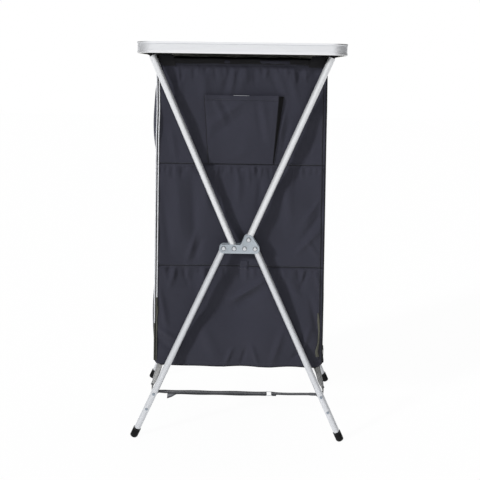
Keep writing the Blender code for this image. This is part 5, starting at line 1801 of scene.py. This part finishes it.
# %% Near strap
# The strap's two layers pass round the bars of the wire ring.
BUCKLE_X = 0.095
ring_low, ring_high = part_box("strap_buckle")
BAR_REACH = (ring_high.x - ring_low.x) / 2 - 0.0010
LEFT_BAR, RIGHT_BAR = BUCKLE_X - BAR_REACH, BUCKLE_X + BAR_REACH
LAYER_GAP, FOLD_BACK, TAIL_X = 0.0029, 0.0125, -0.183
UPPER, UNDER = STRAP_Z, STRAP_Z - LAYER_GAP
BEND_RADIUS = (UPPER - UNDER) / 2 + 0.0002
# The free tail: x, how far it hangs below the under layer, and its angle.
TAIL = [(-0.188, 0.0012, 14), (-0.196, 0.0040, 34), (-0.2045, 0.0062, 46), (-0.2110, 0.0082, 52)]
TILT = [0, -3, -6]


def bent_round(bar, start, end):
    """Points of the strap's bend round a bar of the ring, between two angles in degrees."""
    turns = np.radians(np.linspace(start, end, 10))
    centre = (UPPER + UNDER) / 2
    return [(bar + BEND_RADIUS * math.cos(a), -STRAP_Y, centre + BEND_RADIUS * math.sin(a)) for a in turns]


points = [
    *level_points([-x for x in TURN_X], UPPER),
    *level_points(np.linspace(-FLAT_X, LEFT_BAR, 24), UPPER),
    *bent_round(LEFT_BAR, 80, -80),
    *level_points(np.linspace(LEFT_BAR, TAIL_X, 22), UNDER),
    *[(x, -STRAP_Y, UNDER - drop) for x, drop, _ in TAIL],
]
flat_count = len(points) - len(TURN_X) - len(TAIL) - 1
turns = [*TURN_ANGLES, *([0] * flat_count), 4, *[angle for _, _, angle in TAIL]]
widths = [*TURN_WIDTHS, *([WEB_WIDTH] * (len(points) - 3))]
near_left = strap("near_strap_left", points, turns, widths, "leg_left_near", columns=260, flat_way=(0, 1, 0))
with_leg(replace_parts(near_left, "strap_near_left"))

points = [
    *level_points(np.linspace(RIGHT_BAR + FOLD_BACK, RIGHT_BAR, 8), UNDER),
    *bent_round(RIGHT_BAR, 260, 100),
    *level_points(np.linspace(RIGHT_BAR, FLAT_X, 20), UPPER),
    *level_points(TURN_X[::-1], UPPER),
]
# Past the ring, the right-hand stretch leans a little towards the camera.
turns = [*([0] * 18), *TILT, *([-8] * (len(points) - 25)), -4, *TURN_ANGLES[::-1]]
widths = [*([WEB_WIDTH] * (len(points) - 3)), *TURN_WIDTHS[::-1]]
near_right = strap("near_strap_right", points, turns, widths, "leg_right_near", flat_way=(0, 1, 0))
with_leg(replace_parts(near_right, "strap_near_right"))
print("near strap:", round(near_left.dimensions.x, 3), "and", round(near_right.dimensions.x, 3), "m")

# %% Far strap
xs = [*[-x for x in TURN_X], *np.linspace(-FLAT_X, FLAT_X, 40), *TURN_X[::-1]]
far = strap(
    "far_strap", level_points(xs, STRAP_Z, STRAP_Y), [*TURN_ANGLES, *([0] * 40), *TURN_ANGLES[::-1]],
    [*TURN_WIDTHS, *([WEB_WIDTH] * 40), *TURN_WIDTHS[::-1]], "leg_left_far",
)
with_leg(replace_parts(far, "strap_far"))
print("far strap:", round(far.dimensions.x, 3), "m")

# %% Side straps
SIDE_X, SIDE_Y, BEND = STRAP_RIVET_X + 0.0090, 0.1901, 0.0030
NEAR_TURNS, FAR_TURNS = [*([90] * 8), 84, 70, 50, 24, 6], [0, 0, 8, 40, *([90] * 8)]

bend = [
    (SIDE_X - BEND + BEND * math.sin(a), SIDE_Y - BEND + BEND * math.cos(a))
    for a in np.linspace(0, math.pi / 2, 6)
]
half = [(0.2430, SIDE_Y), (0.2500, SIDE_Y), *bend, *[(SIDE_X, y) for y in (0.176, 0.160, 0.140, 0.100)]]
for side, hand in ((-1, "left"), (1, "right")):
    points = [(side * x, -y, STRAP_Z) for x, y in half] + [(side * SIDE_X, 0, STRAP_Z)]
    points += [(side * x, y, STRAP_Z) for x, y in reversed(half)]
    turns = [side * turn for turn in NEAR_TURNS + FAR_TURNS]
    widths, body = [WEB_WIDTH] * len(points), f"leg_{hand}_near"
    piece = strap(f"side_strap_{hand}", points, turns, widths, body, columns=220, finish=side_webbing)
    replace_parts(piece, f"strap_{hand}_side")
print("side strap:", round(piece.dimensions.y, 3), "m")

# %% Wire ring
BUCKLE_WIRE, BUCKLE_CORNER = 0.0010, 0.0016
ring_x = BAR_REACH - BUCKLE_CORNER
ring_y = (ring_high.y - ring_low.y) / 2 - BUCKLE_WIRE - BUCKLE_CORNER
ring_centre = centre_of((ring_low, ring_high))
points = []
for sx, sy, start in ((1, 1, 0), (-1, 1, 90), (-1, -1, 180), (1, -1, 270)):
    for a in np.radians(np.linspace(start, start + 90, 6)):
        x, y = sx * ring_x + BUCKLE_CORNER * math.cos(a), sy * ring_y + BUCKLE_CORNER * math.sin(a)
        points.append((BUCKLE_X + x, ring_centre.y + y, ring_centre.z))
ring = corded(
    "wire_ring", points, BUCKLE_WIRE, rivet_steel, "leg_left_near", sides=14, spacing=0.0006, closed=True
)
with_leg(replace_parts(ring, "strap_buckle"))
print("ring:", [round(v * 1000, 1) for v in ring.dimensions], "mm")

# %% [markdown]
# ## Elastic loops
#
# A thin elastic loop ties each lower corner of the bag down to the side strap, with a knot on its outer end.
# Both are cords again, and all four loops are one route, mirrored.

# %% Elastics
ELASTIC_RADIUS, KNOT_RADIUS, HOOK_RADIUS, LOOP_OPENING = 0.0012, 0.0015, 0.0028, 0.012
BOX_MARGIN, KNOT_RISE, KNOT_STEP = 0.0014, 0.0006, 0.0010
KNOT = [(0.0034, -0.0016), (0.0020, 0.0010), (-0.0006, 0.0016), (-0.0012, -0.0010), (0.0014, -0.0018)]

for where, y_side in (("near", -1), ("far", 1)):
    for hand, side in (("left", -1), ("right", 1)):
        node = f"elastic_{where}_{hand}"
        low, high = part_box(node)
        (top_x, foot_x), (foot_y, top_y) = (sorted((abs(a), abs(b))) for a, b in zip(low.xy, high.xy))
        foot_x, top_x = foot_x - HOOK_RADIUS - BOX_MARGIN, top_x + BOX_MARGIN
        foot_y, top_y = foot_y + BOX_MARGIN, top_y - BOX_MARGIN
        hook_z = low.z + HOOK_RADIUS + BOX_MARGIN
        hook = [
            (foot_x + HOOK_RADIUS * math.cos(a), foot_y, hook_z + HOOK_RADIUS * math.sin(a))
            for a in np.radians(np.linspace(180, 360, 14))
        ]
        loop = [(top_x, top_y, high.z), *hook, (top_x + LOOP_OPENING, top_y, high.z)]
        tie = [
            (foot_x + x, foot_y + KNOT_STEP * number, hook_z + KNOT_RISE + z)
            for number, (x, z) in enumerate(KNOT)
        ]
        loop, tie = (np.array(line) * (side, y_side, 1) for line in (loop, tie))
        name = f"elastic_loop_{where}_{hand}"
        elastic = corded(name, loop, ELASTIC_RADIUS, pale_elastic, sides=8, spacing=0.0015)
        with_bag(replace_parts(elastic, node))
        knot = corded(f"knot_{where}_{hand}", tie, KNOT_RADIUS, dark_elastic, sides=8, spacing=0.0008)
        with_bag(knot)

# %% [markdown]
# ## Shelves
#
# The three shelves are thin stiffened boards. They could be cut from a sheet, but a cube, scaled and
# bevelled, is all they need.

# %% Shelves
SHELF_SIDE_GAP, SHELF_SET_BACK, SHELF_CORNER, SHELF_ROUND = 0.002, 0.018, 0.012, 0.0012

for shelf in ("bottom_shelf", "middle_shelf", "top_shelf"):
    low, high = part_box(shelf)
    size = high - low
    bm = bmesh.new()
    bmesh.ops.create_cube(bm, size=1.0)
    bmesh.ops.scale(bm, vec=(size.x - SHELF_SIDE_GAP, size.y - 2 * SHELF_SET_BACK, size.z), verts=bm.verts)
    upright = [edge for edge in bm.edges if abs(edge.verts[0].co.z - edge.verts[1].co.z) > 0.001]
    bmesh.ops.bevel(
        bm, geom=upright, offset=SHELF_CORNER, segments=5, profile=0.5, affect="EDGES", material=-1
    )
    around = [edge for edge in bm.edges if abs(edge.verts[0].co.z - edge.verts[1].co.z) < 0.0005]
    bmesh.ops.bevel(bm, geom=around, offset=SHELF_ROUND, segments=3, profile=0.5, affect="EDGES", material=-1)
    bmesh.ops.translate(bm, vec=(low + high) / 2, verts=bm.verts)
    board = as_object(f"{shelf}_board", bm, shelf_board, "root")
    with_bag(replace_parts(board, shelf))
print("shelves:", [round(v, 3) for v in board.dimensions], "m each")
